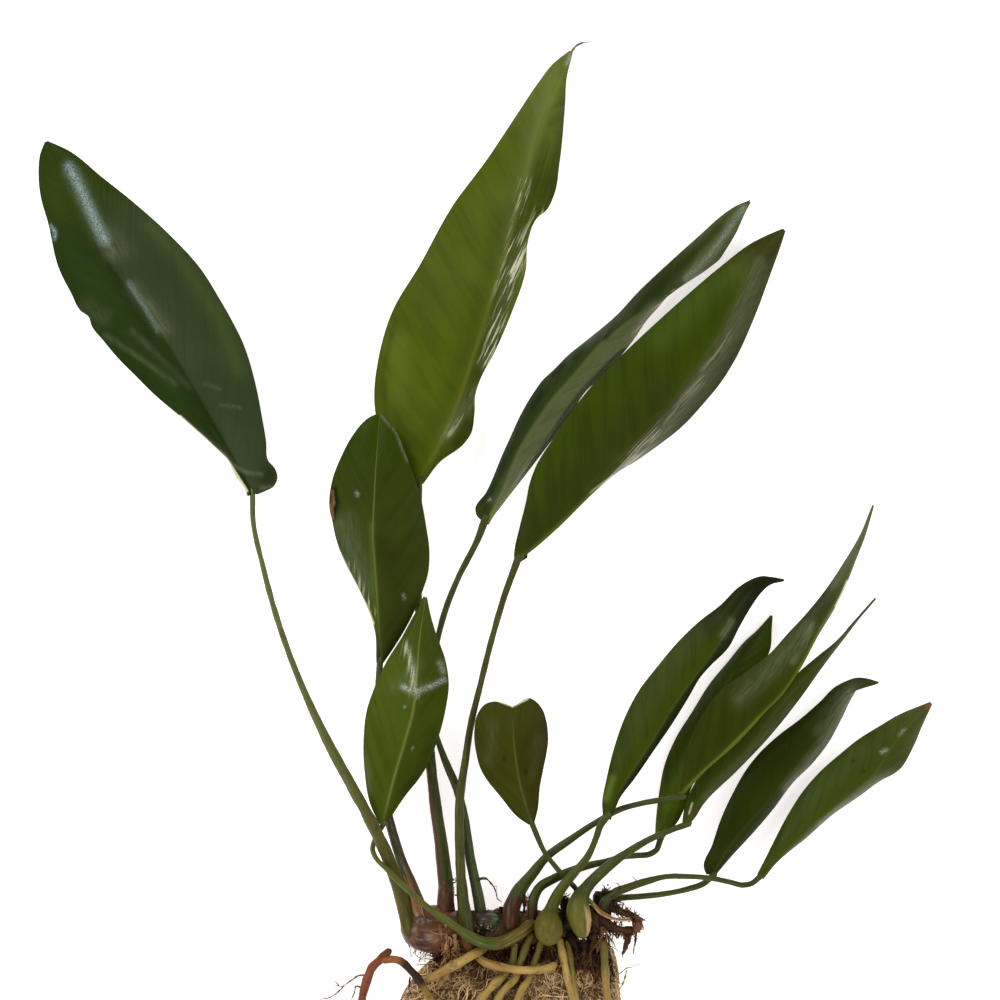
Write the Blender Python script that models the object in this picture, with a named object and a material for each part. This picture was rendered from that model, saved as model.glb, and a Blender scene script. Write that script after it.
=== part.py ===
"""A bare-root anubias lying on its side: creeping stem, leaf stalks, leaf blades and roots.

The plant lies in the XY plane. Its leaves point to +Y, its roots to -Y and +Z is up.
z = 0 is the surface it lies on, and the origin is under the middle of the plant.
Every size below is in millimetres. A length becomes metres where a mesh is made.
"""
import math

import bpy
import numpy as np

MM = 0.001
GAP = 0.3

BLADE_THICKNESS = 0.8
BLADE_ROWS = 14
BLADE_CELLS_PER_HALF = 2
TIP_STOP = 0.985

STALK_SIDES = 8
STALK_RINGS = 13
ROOT_SIDES = 6
ROOT_RINGS = 9
STEM_SIDES = 14
SOCKET_RUN = 3.0
SOCKET_REACH = 2.0
TANGENT_STEP = 0.004

# Creeping stem: x, y, z of the axis and the radius there.
STEM_STATIONS = (
    (-8.4, -107.5, 11.0, 5.6),
    (-4.0, -107.6, 11.0, 6.2),
    (3.0, -107.8, 11.0, 6.3),
    (10.0, -107.6, 10.3, 5.8),
    (16.0, -107.0, 9.3, 5.2),
    (24.0, -106.0, 9.0, 5.0),
    (31.0, -104.8, 9.0, 4.8),
    (35.5, -103.9, 9.0, 4.1),
    (37.6, -103.5, 9.0, 2.4),
)

# Papery sheath on the stem's left end, in the same form.
SHEATH_STATIONS = (
    (-25.6, -106.4, 11.0, 1.2),
    (-24.6, -106.5, 11.0, 3.8),
    (-22.5, -106.7, 11.0, 5.8),
    (-19.0, -107.0, 11.0, 7.0),
    (-15.0, -107.2, 11.0, 7.1),
    (-11.5, -107.4, 11.0, 6.4),
    (-8.8, -107.5, 11.0, 5.6),
)

# Leaf blades. "rib" is the midrib or the crest of the blade, from the stalk to the tip.
# "left" and "right" are the two margins in the same direction. "bow" lifts the middle
# of the left and right halves.
BLADES = {
    "leaf_1": {
        "rib": ((-69.8, 23.4, 11), (-79.8, 41.7, 10), (-96, 69, 10.5), (-115, 96.3, 9),
                (-125.5, 117, 5), (-132, 129, 1.6)),
        "left": ((-71.2, 22.8, 10.6), (-75, 28.5, 8.5), (-80, 36, 6.5), (-90, 45, 5),
                 (-105, 58.5, 3.2), (-118, 73, 1.8), (-124.5, 83.5, 1.2),
                 (-130, 97, 0.8), (-134, 112, 0.6), (-134.3, 122, 0.8), (-132.6, 128.6, 1.4)),
        "right": ((-68.5, 23.3, 11), (-64.5, 25, 11.5), (-62.8, 29, 12), (-66, 40, 13),
                  (-68.5, 54, 14), (-73, 69, 14.5), (-80, 82, 15), (-95, 101, 13),
                  (-110, 114, 9), (-120, 122.5, 5.5), (-131, 128.6, 1.8)),
        "bow": (0.8, 0.8),
    },
    "leaf_2": {
        "rib": ((-20, 26.5, 9.5), (-11.5, 43, 10), (-2, 69.6, 10.5), (3.8, 88.8, 10),
                (9.5, 108, 9), (17.2, 136.6, 5.5), (25.8, 156.2, 1.5)),
        "left": ((-21.2, 26.8, 9.3), (-27, 33, 8), (-32, 42, 4), (-33.3, 50, 1.5),
                 (-32, 65, 0.8), (-28, 78, 0.7), (-20, 91.5, 0.7), (-10, 109.5, 0.8),
                 (0, 123, 1), (10, 138, 1.2), (20, 152, 1.3), (25.2, 156.2, 1.4)),
        "right": ((-18.8, 26.2, 9.3), (-14, 32.5, 9), (-6.5, 38.5, 8.5), (-3.6, 46, 8),
                  (-1.5, 58, 7.5), (5, 71, 7), (11, 86, 6.5), (13, 100, 6), (18, 108, 6.5),
                  (22.5, 124, 5.5), (24, 141, 4), (24.6, 149, 2.6), (26.3, 155.8, 1.5)),
        "bow": (0.8, 0.6),
    },
    "leaf_3": {
        "rib": ((-31.8, -27.5, 13.8), (-32.3, -13, 16.5), (-33, 3, 18.5), (-33.5, 20, 17.5),
                (-33, 34, 15), (-31.8, 46.6, 12.6)),
        "left": ((-32.8, -27.2, 13.6), (-33.2, -18.5, 14.6), (-38, -5.5, 15), (-43.5, 5.5, 14),
                 (-46.4, 15, 12.5), (-46.4, 26, 12), (-43, 35, 12), (-38, 42.5, 12.2),
                 (-32.4, 46.7, 12.6)),
        "right": ((-30.8, -27.4, 13.8), (-27, -22, 14.5), (-21, -11, 16), (-17.4, 1, 16),
                  (-18, 14, 15.8), (-20, 24, 15.5), (-24, 35, 14.5), (-28, 43, 13.3),
                  (-31.2, 46.8, 12.6)),
        "bow": (0.6, 0.6),
    },
    "leaf_4": {
        "rib": ((-31, -75.8, 16.8), (-27, -60, 18.6), (-22.5, -45, 21), (-21, -36, 23),
                (-20.2, -24, 21), (-18.2, -8.5, 18.6)),
        "left": ((-32, -75.4, 16.8), (-34.8, -70, 17), (-36.4, -60, 18), (-36.5, -47, 19),
                 (-34, -36.5, 20), (-30, -27.5, 19.5), (-25, -19.5, 19), (-21, -12, 18.6),
                 (-18.8, -8.6, 18.5)),
        "right": ((-30, -76, 16.8), (-26.5, -70.5, 17), (-20, -62, 17.8), (-14.5, -50, 19.5),
                  (-11.6, -39, 21.5), (-11.2, -31.5, 22), (-13.5, -22.5, 20.5),
                  (-16.2, -15, 19), (-17.7, -8.8, 18.6)),
        "bow": (0.8, 0.5),
    },
    "leaf_5": {
        "rib": ((-0.2, 15.2, 14), (5, 25, 14.5), (15, 45, 14.5), (25, 57, 13.5),
                (40, 72.5, 12), (53, 81.5, 10.5), (65, 95, 8.5), (78.6, 110.6, 4)),
        "left": ((-1.3, 15.6, 13.8), (-3.3, 18.5, 12), (0, 23.5, 10.5), (7.5, 40.5, 8.5),
                 (15, 54.5, 7.5), (25, 65, 6.5), (40, 77.5, 5.5), (55, 92.5, 4.5),
                 (70, 106, 3.5), (78, 110.9, 3.6)),
        "right": ((0.8, 14.8, 13.8), (5, 20, 11.5), (15, 33, 9), (25, 46.5, 7.5),
                  (35, 58.5, 6.5), (48, 75, 6), (60, 86.3, 5.5), (70, 93.5, 5),
                  (75, 101.5, 4.2), (79.1, 110.2, 3.8)),
        "bow": (0.6, 0.6),
    },
    "leaf_6": {
        "rib": ((9.6, 3.4, 15), (20, 11.8, 15.5), (30, 21.8, 15), (45, 38, 13.5),
                (60, 57, 11), (70, 70.5, 9.5), (80, 91, 7), (89, 101.8, 4)),
        "left": ((8.4, 4.2, 14.8), (8.8, 9, 14.5), (11, 17.5, 13.5), (15, 31.5, 12.5),
                 (25, 46.5, 11.5), (40, 64, 10), (55, 78.5, 8.5), (70, 91, 6.5),
                 (80, 98.5, 5), (88.5, 102.2, 4)),
        "right": ((10.6, 3.4, 14.4), (17, 10.8, 11), (25, 19, 7), (33.5, 25.4, 4.5),
                  (42, 31, 2.5), (52, 37.8, 1.5), (62, 47, 1.2), (70, 56, 1.5),
                  (76.5, 66.5, 1.8), (82, 80, 2.2), (86, 91, 2.8), (89.3, 101.3, 3.8)),
        "bow": (0.8, 0.8),
    },
    "leaf_7": {
        "rib": ((13.6, -75, 16.5), (11, -67, 18), (9.3, -58, 19.5), (8.3, -48, 20),
                (7.8, -40.6, 19)),
        "left": ((12.6, -75, 16.4), (8, -71.5, 17), (0.5, -62.5, 18), (-3, -54, 18.5),
                 (-3.3, -46, 18.5), (-0.6, -40.2, 18.6), (4, -39, 18.8), (7, -39.9, 18.9)),
        "right": ((14.6, -74.8, 16.4), (15.4, -70, 17), (17, -60, 17.5), (18.5, -50, 17.5),
                  (17, -41.5, 17.8), (12.5, -38, 18.5), (8.8, -39.7, 18.9)),
        "bow": (0.6, 0.6),
    },
    "leaf_8": {
        "rib": ((36.1, -73.6, 16), (40.5, -65, 16), (49, -52, 15), (60, -35.5, 13.5),
                (70, -20, 12), (77.5, -9, 10.5), (84, -3.4, 8.5), (89, -2.7, 6)),
        "left": ((35.1, -73.2, 15.8), (34.7, -68.5, 15), (36.9, -58, 13), (41.5, -44, 11),
                 (48.5, -32, 9.5), (58.5, -20.2, 8.5), (70, -10.4, 8), (78.5, -3, 7.8),
                 (84, -1.6, 7), (88.6, -2.4, 6)),
        "right": ((37.1, -73.4, 15.8), (41.6, -65, 15), (50, -54, 14.5), (60.5, -38, 13),
                  (66, -29.5, 12), (72.5, -23, 11), (78, -13, 10), (83.5, -5.2, 8.5),
                  (89, -3, 6)),
        "bow": (0.8, 0.4),
    },
    "leaf_9": {
        "rib": ((51.8, -80.6, 8.2), (57, -66, 7.2), (64, -50, 6.5), (72, -35, 5.8),
                (80, -22, 4.6), (85.4, -13.8, 3)),
        "left": ((50.7, -80.4, 8), (51, -74, 6), (52, -66, 4), (55, -54, 2.5),
                 (62, -42, 1.5), (70, -30, 1), (78, -20.7, 1.5), (85, -14.1, 2.8)),
        "right": ((52.9, -80.4, 8.1), (57.5, -75, 7.2), (62, -64, 6.8), (68, -53, 6.5),
                  (75, -41, 6), (82, -30, 5.5), (85, -23, 4.6), (85.7, -14.3, 3)),
        "bow": (0.6, 0.3),
    },
    "leaf_10": {
        "rib": ((58, -67.2, 14.2), (65, -60, 16), (75, -51.5, 17.3), (84, -41.5, 18),
                (96, -25, 17), (105, -8.5, 16), (111.5, 7, 14.5), (115.8, 19.2, 12.5)),
        "left": ((57.4, -66.4, 14.2), (59.3, -60, 14.5), (63.6, -45, 15), (75, -32.5, 15.3),
                 (85.5, -24.3, 15.5), (96, -12.5, 15.5), (105, -0.5, 15), (112, 11, 13.5),
                 (115.4, 19.4, 12.5)),
        "right": ((58.6, -67.6, 13.8), (65, -58.5, 12.6), (74, -49.5, 12.4), (83, -39.5, 12.5),
                  (93.5, -29.5, 12.8), (102, -15, 13.2), (107.5, -5, 13.2), (112, 6.5, 13),
                  (116.2, 18.9, 12.4)),
        "bow": (0.6, 0.3),
    },
    "leaf_11": {
        "rib": ((59.6, -75.7, 10), (66, -66, 10.3), (78, -53.5, 9.5), (90, -38, 8.5),
                (102, -24.5, 6), (116.6, -8.4, 3)),
        "left": ((58.8, -75, 10), (60.6, -71, 10), (64, -63, 9.8), (75, -50, 9.3),
                 (85, -39, 8.8), (94, -30, 7.8), (104, -21.5, 5.8), (112, -13.2, 4),
                 (116.4, -8.1, 3)),
        "right": ((60.4, -76.2, 9.9), (65, -70.3, 9), (73, -62, 8), (80, -55, 7),
                  (88, -46, 6), (96, -36, 5), (104, -24.5, 4), (111, -15, 3.2),
                  (116.9, -8.7, 2.9)),
        "bow": (0.3, 0.4),
    },
    "leaf_12": {
        "rib": ((67.2, -91, 8.5), (72, -81, 8.5), (82, -66, 8), (92, -54, 7.5),
                (101, -44.5, 6.5), (108, -37, 5), (117, -33.2, 3)),
        "left": ((66, -90.8, 8.4), (65.4, -88.5, 8), (67.8, -82, 7.5), (72, -70, 7),
                 (78, -59.5, 6.5), (88, -49, 6), (97, -42, 5.5), (105, -34.7, 5),
                 (112, -32, 4), (116.6, -32.9, 3)),
        "right": ((68.4, -91, 8.4), (74, -85, 6.5), (83, -75, 4.5), (92, -63.5, 3),
                  (100.5, -54, 2.2), (106.5, -44.5, 2), (110, -37.5, 2), (113.5, -33.7, 2.5),
                  (117.2, -33.6, 2.9)),
        "bow": (0.8, 0.5),
    },
    "leaf_13": {
        "rib": ((82.3, -91.2, 9.6), (92, -82, 10), (104, -71.5, 9.5), (116, -60.5, 8),
                (126, -48, 5), (133.2, -40, 1.6)),
        "left": ((81.3, -90.6, 9.4), (83.5, -86.5, 8.5), (88.5, -77, 6.5), (95, -66, 5),
                 (106, -55, 4), (118, -46.5, 3), (127, -41.8, 2.2), (132.8, -39.7, 1.6)),
        "right": ((83.2, -91.7, 9.5), (88, -86.5, 8), (96, -80, 5.5), (104, -73, 3),
                  (112, -67.5, 1.8), (119, -62.5, 1), (124, -59.3, 0.7), (128, -53, 0.7),
                  (131.5, -45, 0.9), (133.5, -40.4, 1.5)),
        "bow": (0.8, 0.6),
    },
}

# Leaf stalks. "path" runs from the blade to the stem, "radius" holds evenly spaced radii
# along it, and "socket" is the place on the stem or the sheath where the stalk stands:
# the piece, x along it and the angle about it from +Y towards +Z.
STALKS = {
    "stalk_1": {
        "path": ((-69.9, 22.6, 11), (-69.6, 15, 11.5), (-67, 2, 12.5), (-62, -14, 13.6),
                 (-55, -32, 15.2), (-47.5, -50, 17.5), (-40, -63.5, 19.4), (-34, -75, 19.8),
                 (-29.3, -85.5, 18.0), (-26.4, -93.5, 15.0)),
        "radius": (1.2, 1.3, 1.4, 1.6, 1.9, 2.6),
        "socket": ("sheath", -22.6, 25.0),
    },
    "stalk_2": {
        "path": ((-20, 25.8, 9.4), (-20.2, 12, 8.5), (-20.4, -4, 7.6), (-19.6, -20, 7.2),
                 (-17.6, -40, 7.4), (-16.1, -56, 8), (-14.7, -70, 8.6), (-13.2, -85, 9.6),
                 (-12.3, -95, 10.8)),
        "radius": (1.3, 1.4, 1.6, 1.8, 2.0, 2.2),
        "socket": ("sheath", -12.2, 10.0),
    },
    "stalk_3": {
        "path": ((-31.8, -28.2, 13.7), (-32.2, -36, 12.8), (-32.4, -50, 12), (-31.3, -64, 12),
                 (-28.6, -76, 12.2), (-24.5, -87, 12.6), (-20.6, -95.5, 13.2)),
        "radius": (1.2, 1.3, 1.4, 1.5, 1.6, 1.8),
        "socket": ("sheath", -17.6, 25.0),
    },
    "stalk_4": {
        "path": ((-31.3, -76.7, 16.4), (-32.7, -78.6, 15.6), (-34.3, -81, 15.7),
                 (-34.8, -83.8, 17.2), (-33.2, -86.6, 19.6), (-29.5, -89.6, 21.8),
                 (-23, -94.5, 22), (-15, -102, 21.6), (-9, -106.3, 20.6), (-3, -109.8, 19.8),
                 (2, -111, 19.4), (7, -110.6, 19), (10.8, -109.3, 18.6)),
        "radius": (1.1, 1.2, 1.25, 1.4, 1.8, 2.0),
        "socket": ("stem", 12.6, 95.0),
    },
    "stalk_5": {
        "path": ((-0.6, 14.5, 13.9), (-3, 10.5, 13.4), (-8, -2, 12), (-12.4, -12.5, 11.2),
                 (-15, -23, 11), (-16.2, -36, 11.3), (-15.4, -47, 12), (-12.5, -56, 11.4),
                 (-8.8, -65.5, 10.6), (-6.4, -75, 10.6), (-4, -86, 11.3), (-2, -95, 12)),
        "radius": (1.5, 1.15, 1.2, 1.3, 1.6, 1.8),
        "socket": ("stem", -0.8, 25.0),
    },
    "stalk_6": {
        "path": ((9.2, 2.6, 14.9), (6, -7, 14.6), (2.6, -20, 14.6), (-0.4, -34, 14.8),
                 (-3.8, -47, 15), (-6.3, -57, 15.2), (-8.2, -68, 15.2), (-8.4, -80, 15),
                 (-7.7, -91, 15.2), (-6.6, -98, 16)),
        "radius": (1.3, 1.3, 1.4, 1.5, 1.7, 1.9),
        "socket": ("stem", -5.6, 45.0),
    },
    "stalk_7": {
        "path": ((13.9, -75.8, 16.4), (15, -78.8, 16), (16.8, -82.5, 15.8),
                 (19.2, -86, 15.2), (22, -89.6, 13.9), (24.3, -92.6, 12.7), (25.9, -95.4, 11.4)),
        "radius": (1.05, 1.0, 1.0, 1.0),
        "socket": ("stem", 26.4, 10.0),
    },
    "stalk_8": {
        "path": ((35.6, -74.5, 16), (33.8, -78.5, 16), (32.2, -83, 16), (30.2, -87, 16),
                 (27.0, -90.5, 16.6), (24.0, -93.6, 17.2), (21.6, -97.2, 17.8),
                 (20.2, -101, 18.5), (19.6, -105, 19), (19.3, -108.5, 18.6), (19.2, -110.8, 18)),
        "radius": (1.4, 1.6, 1.7, 1.8, 2.0, 2.3, 3.6, 4.1, 1.8),
        "socket": None,
    },
    "stalk_9": {
        "path": ((51.9, -81.5, 8.1), (51, -83.6, 8), (48, -84.8, 8), (43, -85.4, 8),
                 (37, -86.6, 8.3), (31, -88.3, 8.8), (24.5, -90.6, 9.6), (19, -93, 10.4),
                 (15.2, -96.2, 11.2)),
        "radius": (1.3, 1.2, 1.2, 1.4, 1.8, 2.0),
        "socket": ("stem", 13.6, 20.0),
    },
    "stalk_10": {
        "path": ((57.2, -67.7, 14.0), (53.5, -68.3, 13.6), (47, -69.4, 12.6), (40, -71.4, 11.4),
                 (34, -74.3, 11), (27, -78.8, 11.4), (20, -84, 11.8), (14.5, -89.5, 12),
                 (10.4, -94.5, 12.6)),
        "radius": (1.1, 1.1, 1.3, 1.5, 1.7, 2.3),
        "socket": ("stem", 7.4, 25.0),
    },
    "stalk_11": {
        "path": ((58.8, -76.3, 10), (55, -77.7, 10.4), (50, -79.4, 11.2), (45, -82, 12),
                 (40, -85, 12.8), (35, -89, 13.4), (31, -93.2, 14.2), (28.8, -97, 15.8),
                 (28, -100.5, 17.4), (28.2, -103.5, 18), (29.2, -106.3, 17.6), (30, -108, 17)),
        "radius": (1.2, 1.2, 1.25, 1.35, 1.5, 1.6, 2.0, 3.5, 3.1, 1.2),
        "socket": None,
    },
    "stalk_12": {
        "path": ((66.9, -92.2, 8.4), (65.3, -93.6, 8.2), (61, -95.1, 8.2), (54, -96.7, 8.4),
                 (46, -97.4, 8.6), (40, -97.4, 8.6), (36.4, -96.9, 8.6)),
        "radius": (1.3, 1.2, 1.2, 1.3, 1.4, 1.5),
        "socket": ("stem", 33.4, 0.0),
    },
    "stalk_13": {
        "path": ((81.5, -92, 9.8), (79.8, -93.4, 10.4), (77, -94, 11), (73, -93.1, 11.5),
                 (67.5, -92, 11.9), (60, -91.5, 12.2), (53, -91.6, 12.4), (47, -92.6, 12.6),
                 (42, -94.1, 12.8), (38.6, -96, 13)),
        "radius": (1.2, 1.1, 1.1, 1.2, 1.3, 1.4),
        "socket": ("stem", 35.4, 50.0),
    },
}

# Roots in the same form, from the stem outwards. The first place is found from the socket.
ROOTS = {
    "root_1": {
        "path": ((-4.5, -115.8, 16.6), (-8, -116.6, 16.6), (-12, -118.2, 16.2),
                 (-16, -120.8, 14.4), (-18.6, -122.8, 11.8)),
        "radius": (1.4, 1.4, 1.3),
        "socket": ("stem", -1.2, 145.0),
    },
    "root_2": {
        "path": ((-9, -116.8, 13.2), (-11.8, -120, 13), (-14.2, -124.5, 12.8)),
        "radius": (1.2, 1.2, 0.9),
        "socket": ("stem", -6.6, 175.0),
    },
    "root_3": {
        "path": ((20.4, -116.4, 15.4), (18, -118.8, 16.4), (14, -119.5, 16.5), (8, -119.2, 16.5),
                 (3, -118.3, 16.0), (-0.6, -118.2, 14.6)),
        "radius": (1.2, 1.25, 1.25),
        "socket": ("stem", 19.3, 155.0),
    },
    "root_4": {
        "path": ((11.8, -116, 13.2), (10.6, -118.6, 13.4), (8.5, -121.4, 13.6),
                 (6, -125, 13.7), (3.2, -131, 13.6), (0.5, -139, 13)),
        "radius": (1.15, 1.1, 1.0, 0.8),
        "socket": ("stem", 12.5, 165.0),
    },
    "root_5": {
        "path": ((16.2, -115, 12.9), (15, -118, 13.3), (13.4, -121.6, 13.6),
                 (10.8, -126, 13.7), (8.6, -132, 13.5), (7, -141, 12.8)),
        "radius": (1.1, 1.1, 1.0, 0.8),
        "socket": ("stem", 16.6, 165.0),
    },
    "root_6": {
        "path": ((22.1, -114.5, 12.6), (22.8, -118.6, 13.3), (24.2, -125, 13.5),
                 (25.8, -131, 13.3), (27.5, -141, 12.4)),
        "radius": (1.05, 1.1, 1.0, 0.8),
        "socket": ("stem", 21.9, 165.0),
    },
    "root_7": {
        "path": ((25.7, -114.5, 12.6), (26.6, -120, 13.2), (28.4, -127, 13.4),
                 (30.3, -133, 13), (33, -142, 11.5)),
        "radius": (1.0, 1.05, 1.0, 0.8),
        "socket": ("stem", 25.2, 165.0),
    },
    "root_8": {
        "path": ((4.1, -116.8, 13.6), (3.2, -119.6, 13.5), (1.2, -124, 13.6),
                 (-2, -130, 13.5), (-6, -139, 12.6)),
        "radius": (1.2, 1.2, 1.1, 0.8),
        "socket": ("stem", 4.6, 165.0),
    },
    "root_9": {
        "path": ((34.8, -112.6, 12), (35.4, -118, 12.3), (36.2, -126, 11.5), (37.2, -135, 10)),
        "radius": (0.9, 0.9, 0.7),
        "socket": ("stem", 34.0, 150.0),
    },
    "loop_root": {
        "path": ((-8, -141, 13.6), (-12.5, -133, 14.4), (-16, -127.5, 15), (-19.5, -123.5, 15),
                 (-22.3, -120, 14.4), (-25, -117.2, 13), (-28, -115.9, 11), (-31, -116.8, 9.5),
                 (-34, -120, 7.5), (-36.2, -125, 5), (-37.4, -131, 3), (-38, -142, 1.8),
                 (-34, -152, 1.7)),
        "radius": (1.3, 1.5, 1.6, 1.5, 1.5, 1.2),
        "socket": None,
    },
}

# Torn remains of two old leaf bases at the stem's right end.
DEAD_BASES = {
    "dead_base_upper": {
        "path": ((38.2, -102.6, 10.6), (41, -102.6, 12), (44, -103.6, 12.4), (46.6, -105, 12)),
        "radius": (2.0, 1.9, 1.6, 0.7),
        "socket": None,
    },
    "dead_base_lower": {
        "path": ((37.4, -109.2, 7.2), (40.4, -108.4, 7.8), (43.4, -108.6, 7.4),
                 (44.6, -110.6, 6.6), (44.2, -114.2, 5.6)),
        "radius": (1.7, 1.7, 1.4, 0.9, 0.6),
        "socket": None,
    },
}

# Tangle of fine roots: its outline in plan and the rings that build its mound. Each ring
# is the outline drawn towards the middle by a share, and its height.
TANGLE_MIDDLE = (8.0, -135.0)
TANGLE_OUTLINE = (
    (-14, -115.2), (-8, -114.9), (0, -114.7), (8, -114.6), (16, -113.8), (24, -112.8),
    (33, -111.6), (38, -113.4), (39.4, -119), (39.8, -126), (40.6, -134), (39.4, -142),
    (35.5, -149), (29, -154), (20, -157), (11, -158.4), (2, -158.7), (-8, -157),
    (-17, -152), (-24, -145), (-27.4, -137), (-25.4, -128), (-20.5, -120.5),
)
TANGLE_RINGS = (
    (0.95, 0.0), (1.0, 2.4), (0.99, 5.6), (0.94, 8.6), (0.84, 10.4), (0.62, 11.4), (0.3, 11.8),
)
TANGLE_TOP = 11.9
TANGLE_FALL = 0.42
TANGLE_FALL_POWER = 1.5


def clear_scene():
    """Remove every object that the file starts with."""
    for existing in list(bpy.data.objects):
        bpy.data.objects.remove(existing, do_unlink=True)


def make_material(name, colour, roughness):
    """Return a Principled material with one colour."""
    material = bpy.data.materials.new(name)
    material.use_nodes = True
    shader = material.node_tree.nodes["Principled BSDF"]
    shader.inputs["Base Color"].default_value = (*colour, 1.0)
    shader.inputs["Roughness"].default_value = roughness
    shader.inputs["Metallic"].default_value = 0.0
    return material


def add_mesh_object(name, vertices, faces, material, smooth=True):
    """Add a mesh object from vertices in millimetres."""
    mesh = bpy.data.meshes.new(name)
    mesh.from_pydata((np.asarray(vertices) * MM).tolist(), [], faces)
    mesh.update()
    if smooth:
        mesh.shade_smooth()
    made = bpy.data.objects.new(name, mesh)
    made.data.materials.append(material)
    bpy.context.scene.collection.objects.link(made)
    return made


def smooth_curve(points, stations):
    """Read a smooth curve through points at stations from 0 to 1 of its length.

    Each span is a cubic Hermite whose end tangents are the central differences.
    """
    points = np.asarray(points, dtype=float)
    steps = np.linalg.norm(np.diff(points, axis=0), axis=1)
    knots = np.concatenate(([0.0], np.cumsum(steps)))
    tangents = np.gradient(points, knots, axis=0)
    places = np.asarray(stations) * knots[-1]
    span = np.clip(np.searchsorted(knots, places, side="right") - 1, 0, len(steps) - 1)
    width = steps[span]
    t = ((places - knots[span]) / width)[:, None]
    width = width[:, None]
    start_weight = 2 * t**3 - 3 * t**2 + 1
    start_pull = (t**3 - 2 * t**2 + t) * width
    end_weight = 3 * t**2 - 2 * t**3
    end_pull = (t**3 - t**2) * width
    return (
        start_weight * points[span]
        + start_pull * tangents[span]
        + end_weight * points[span + 1]
        + end_pull * tangents[span + 1]
    )


def add_blade(name, form, material):
    """Add a leaf blade: a sheet spanned between margin, midrib and margin, made thick."""
    stations = np.linspace(0.0, 1.0, BLADE_ROWS + 1)
    rib = smooth_curve(form["rib"], stations)
    left = smooth_curve(form["left"], stations * TIP_STOP)
    right = smooth_curve(form["right"], stations * TIP_STOP)
    shares = np.linspace(0.0, 1.0, BLADE_CELLS_PER_HALF + 1)
    columns = []
    for share in shares[:-1]:
        lift = form["bow"][0] * math.sin(math.pi * share)
        columns.append(left + (rib - left) * share + (0.0, 0.0, lift))
    for share in shares:
        lift = form["bow"][1] * math.sin(math.pi * share)
        columns.append(rib + (right - rib) * share + (0.0, 0.0, lift))
    grid = np.stack(columns, axis=1)
    across = grid.shape[1]
    faces = []
    for row in range(BLADE_ROWS):
        for column in range(across - 1):
            corner = row * across + column
            faces.append((corner, corner + 1, corner + across + 1, corner + across))
    blade = add_mesh_object(name, grid.reshape(-1, 3), faces, material)
    thicken = blade.modifiers.new("Thickness", "SOLIDIFY")
    thicken.thickness = BLADE_THICKNESS * MM
    thicken.offset = 0.0
    return blade


def ring_faces(rings, sides):
    """Return the side quads and end caps of a tube of rings, facing outwards."""
    faces = []
    for ring in range(rings - 1):
        for side in range(sides):
            here = ring * sides + side
            beside = ring * sides + (side + 1) % sides
            faces.append((here, beside, beside + sides, here + sides))
    faces.append(tuple(reversed(range(sides))))
    faces.append(tuple(range((rings - 1) * sides, rings * sides)))
    return faces


def round_body_surface(stations, x, angle):
    """Return the place on a round body's side at x along it and an angle about it."""
    xs, ys, zs, radii = np.asarray(stations).T
    radius = np.interp(x, xs, radii)
    return np.array((
        x,
        np.interp(x, xs, ys) + radius * math.cos(angle),
        np.interp(x, xs, zs) + radius * math.sin(angle),
    ))


def socket_place(stations, x, angle_degrees):
    """Return the place just off a round body's side and the direction square to it."""
    angle = math.radians(angle_degrees)
    along = round_body_surface(stations, x + SOCKET_REACH, angle)
    along -= round_body_surface(stations, x - SOCKET_REACH, angle)
    around = np.array((0.0, -math.sin(angle), math.cos(angle)))
    away = np.cross(around, along)
    away /= np.linalg.norm(away)
    return round_body_surface(stations, x, angle) + away * GAP, away


def socket_points(socket, outwards):
    """Return the two path points that stand a stalk or a root on its socket."""
    body, x, angle = socket
    stations = STEM_STATIONS if body == "stem" else SHEATH_STATIONS
    place, away = socket_place(stations, x, angle)
    pair = [tuple(place + away * SOCKET_RUN), tuple(place)]
    return list(reversed(pair)) if outwards else pair


def add_tube(name, path, radii, rings, sides, material):
    """Add a tube along a smooth path whose radius varies evenly along it."""
    stations = np.linspace(0.0, 1.0, rings)
    centres = smooth_curve(path, stations)
    sizes = np.interp(stations, np.linspace(0.0, 1.0, len(radii)), radii)
    tangents = smooth_curve(path, np.minimum(stations + TANGENT_STEP, 1.0))
    tangents -= smooth_curve(path, np.maximum(stations - TANGENT_STEP, 0.0))
    tangents /= np.linalg.norm(tangents, axis=1, keepdims=True)
    angles = np.linspace(0.0, 2 * math.pi, sides, endpoint=False)
    normal = np.array((0.0, 0.0, 1.0))
    vertices = []
    for centre, tangent, size in zip(centres, tangents, sizes):
        normal = normal - tangent * normal.dot(tangent)
        normal /= np.linalg.norm(normal)
        binormal = np.cross(tangent, normal)
        spokes = np.outer(np.cos(angles), normal) + np.outer(np.sin(angles), binormal)
        vertices.append(centre + spokes * size)
    return add_mesh_object(name, np.concatenate(vertices), ring_faces(rings, sides), material)


def add_round_body(name, stations, sides, material):
    """Add a body whose cross-sections square to X are circles."""
    angles = np.linspace(0.0, 2 * math.pi, sides, endpoint=False)
    vertices = []
    for x, y, z, radius in stations:
        vertices.extend(
            (x, y + radius * math.cos(angle), z + radius * math.sin(angle)) for angle in angles
        )
    return add_mesh_object(name, vertices, ring_faces(len(stations), sides), material)


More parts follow.
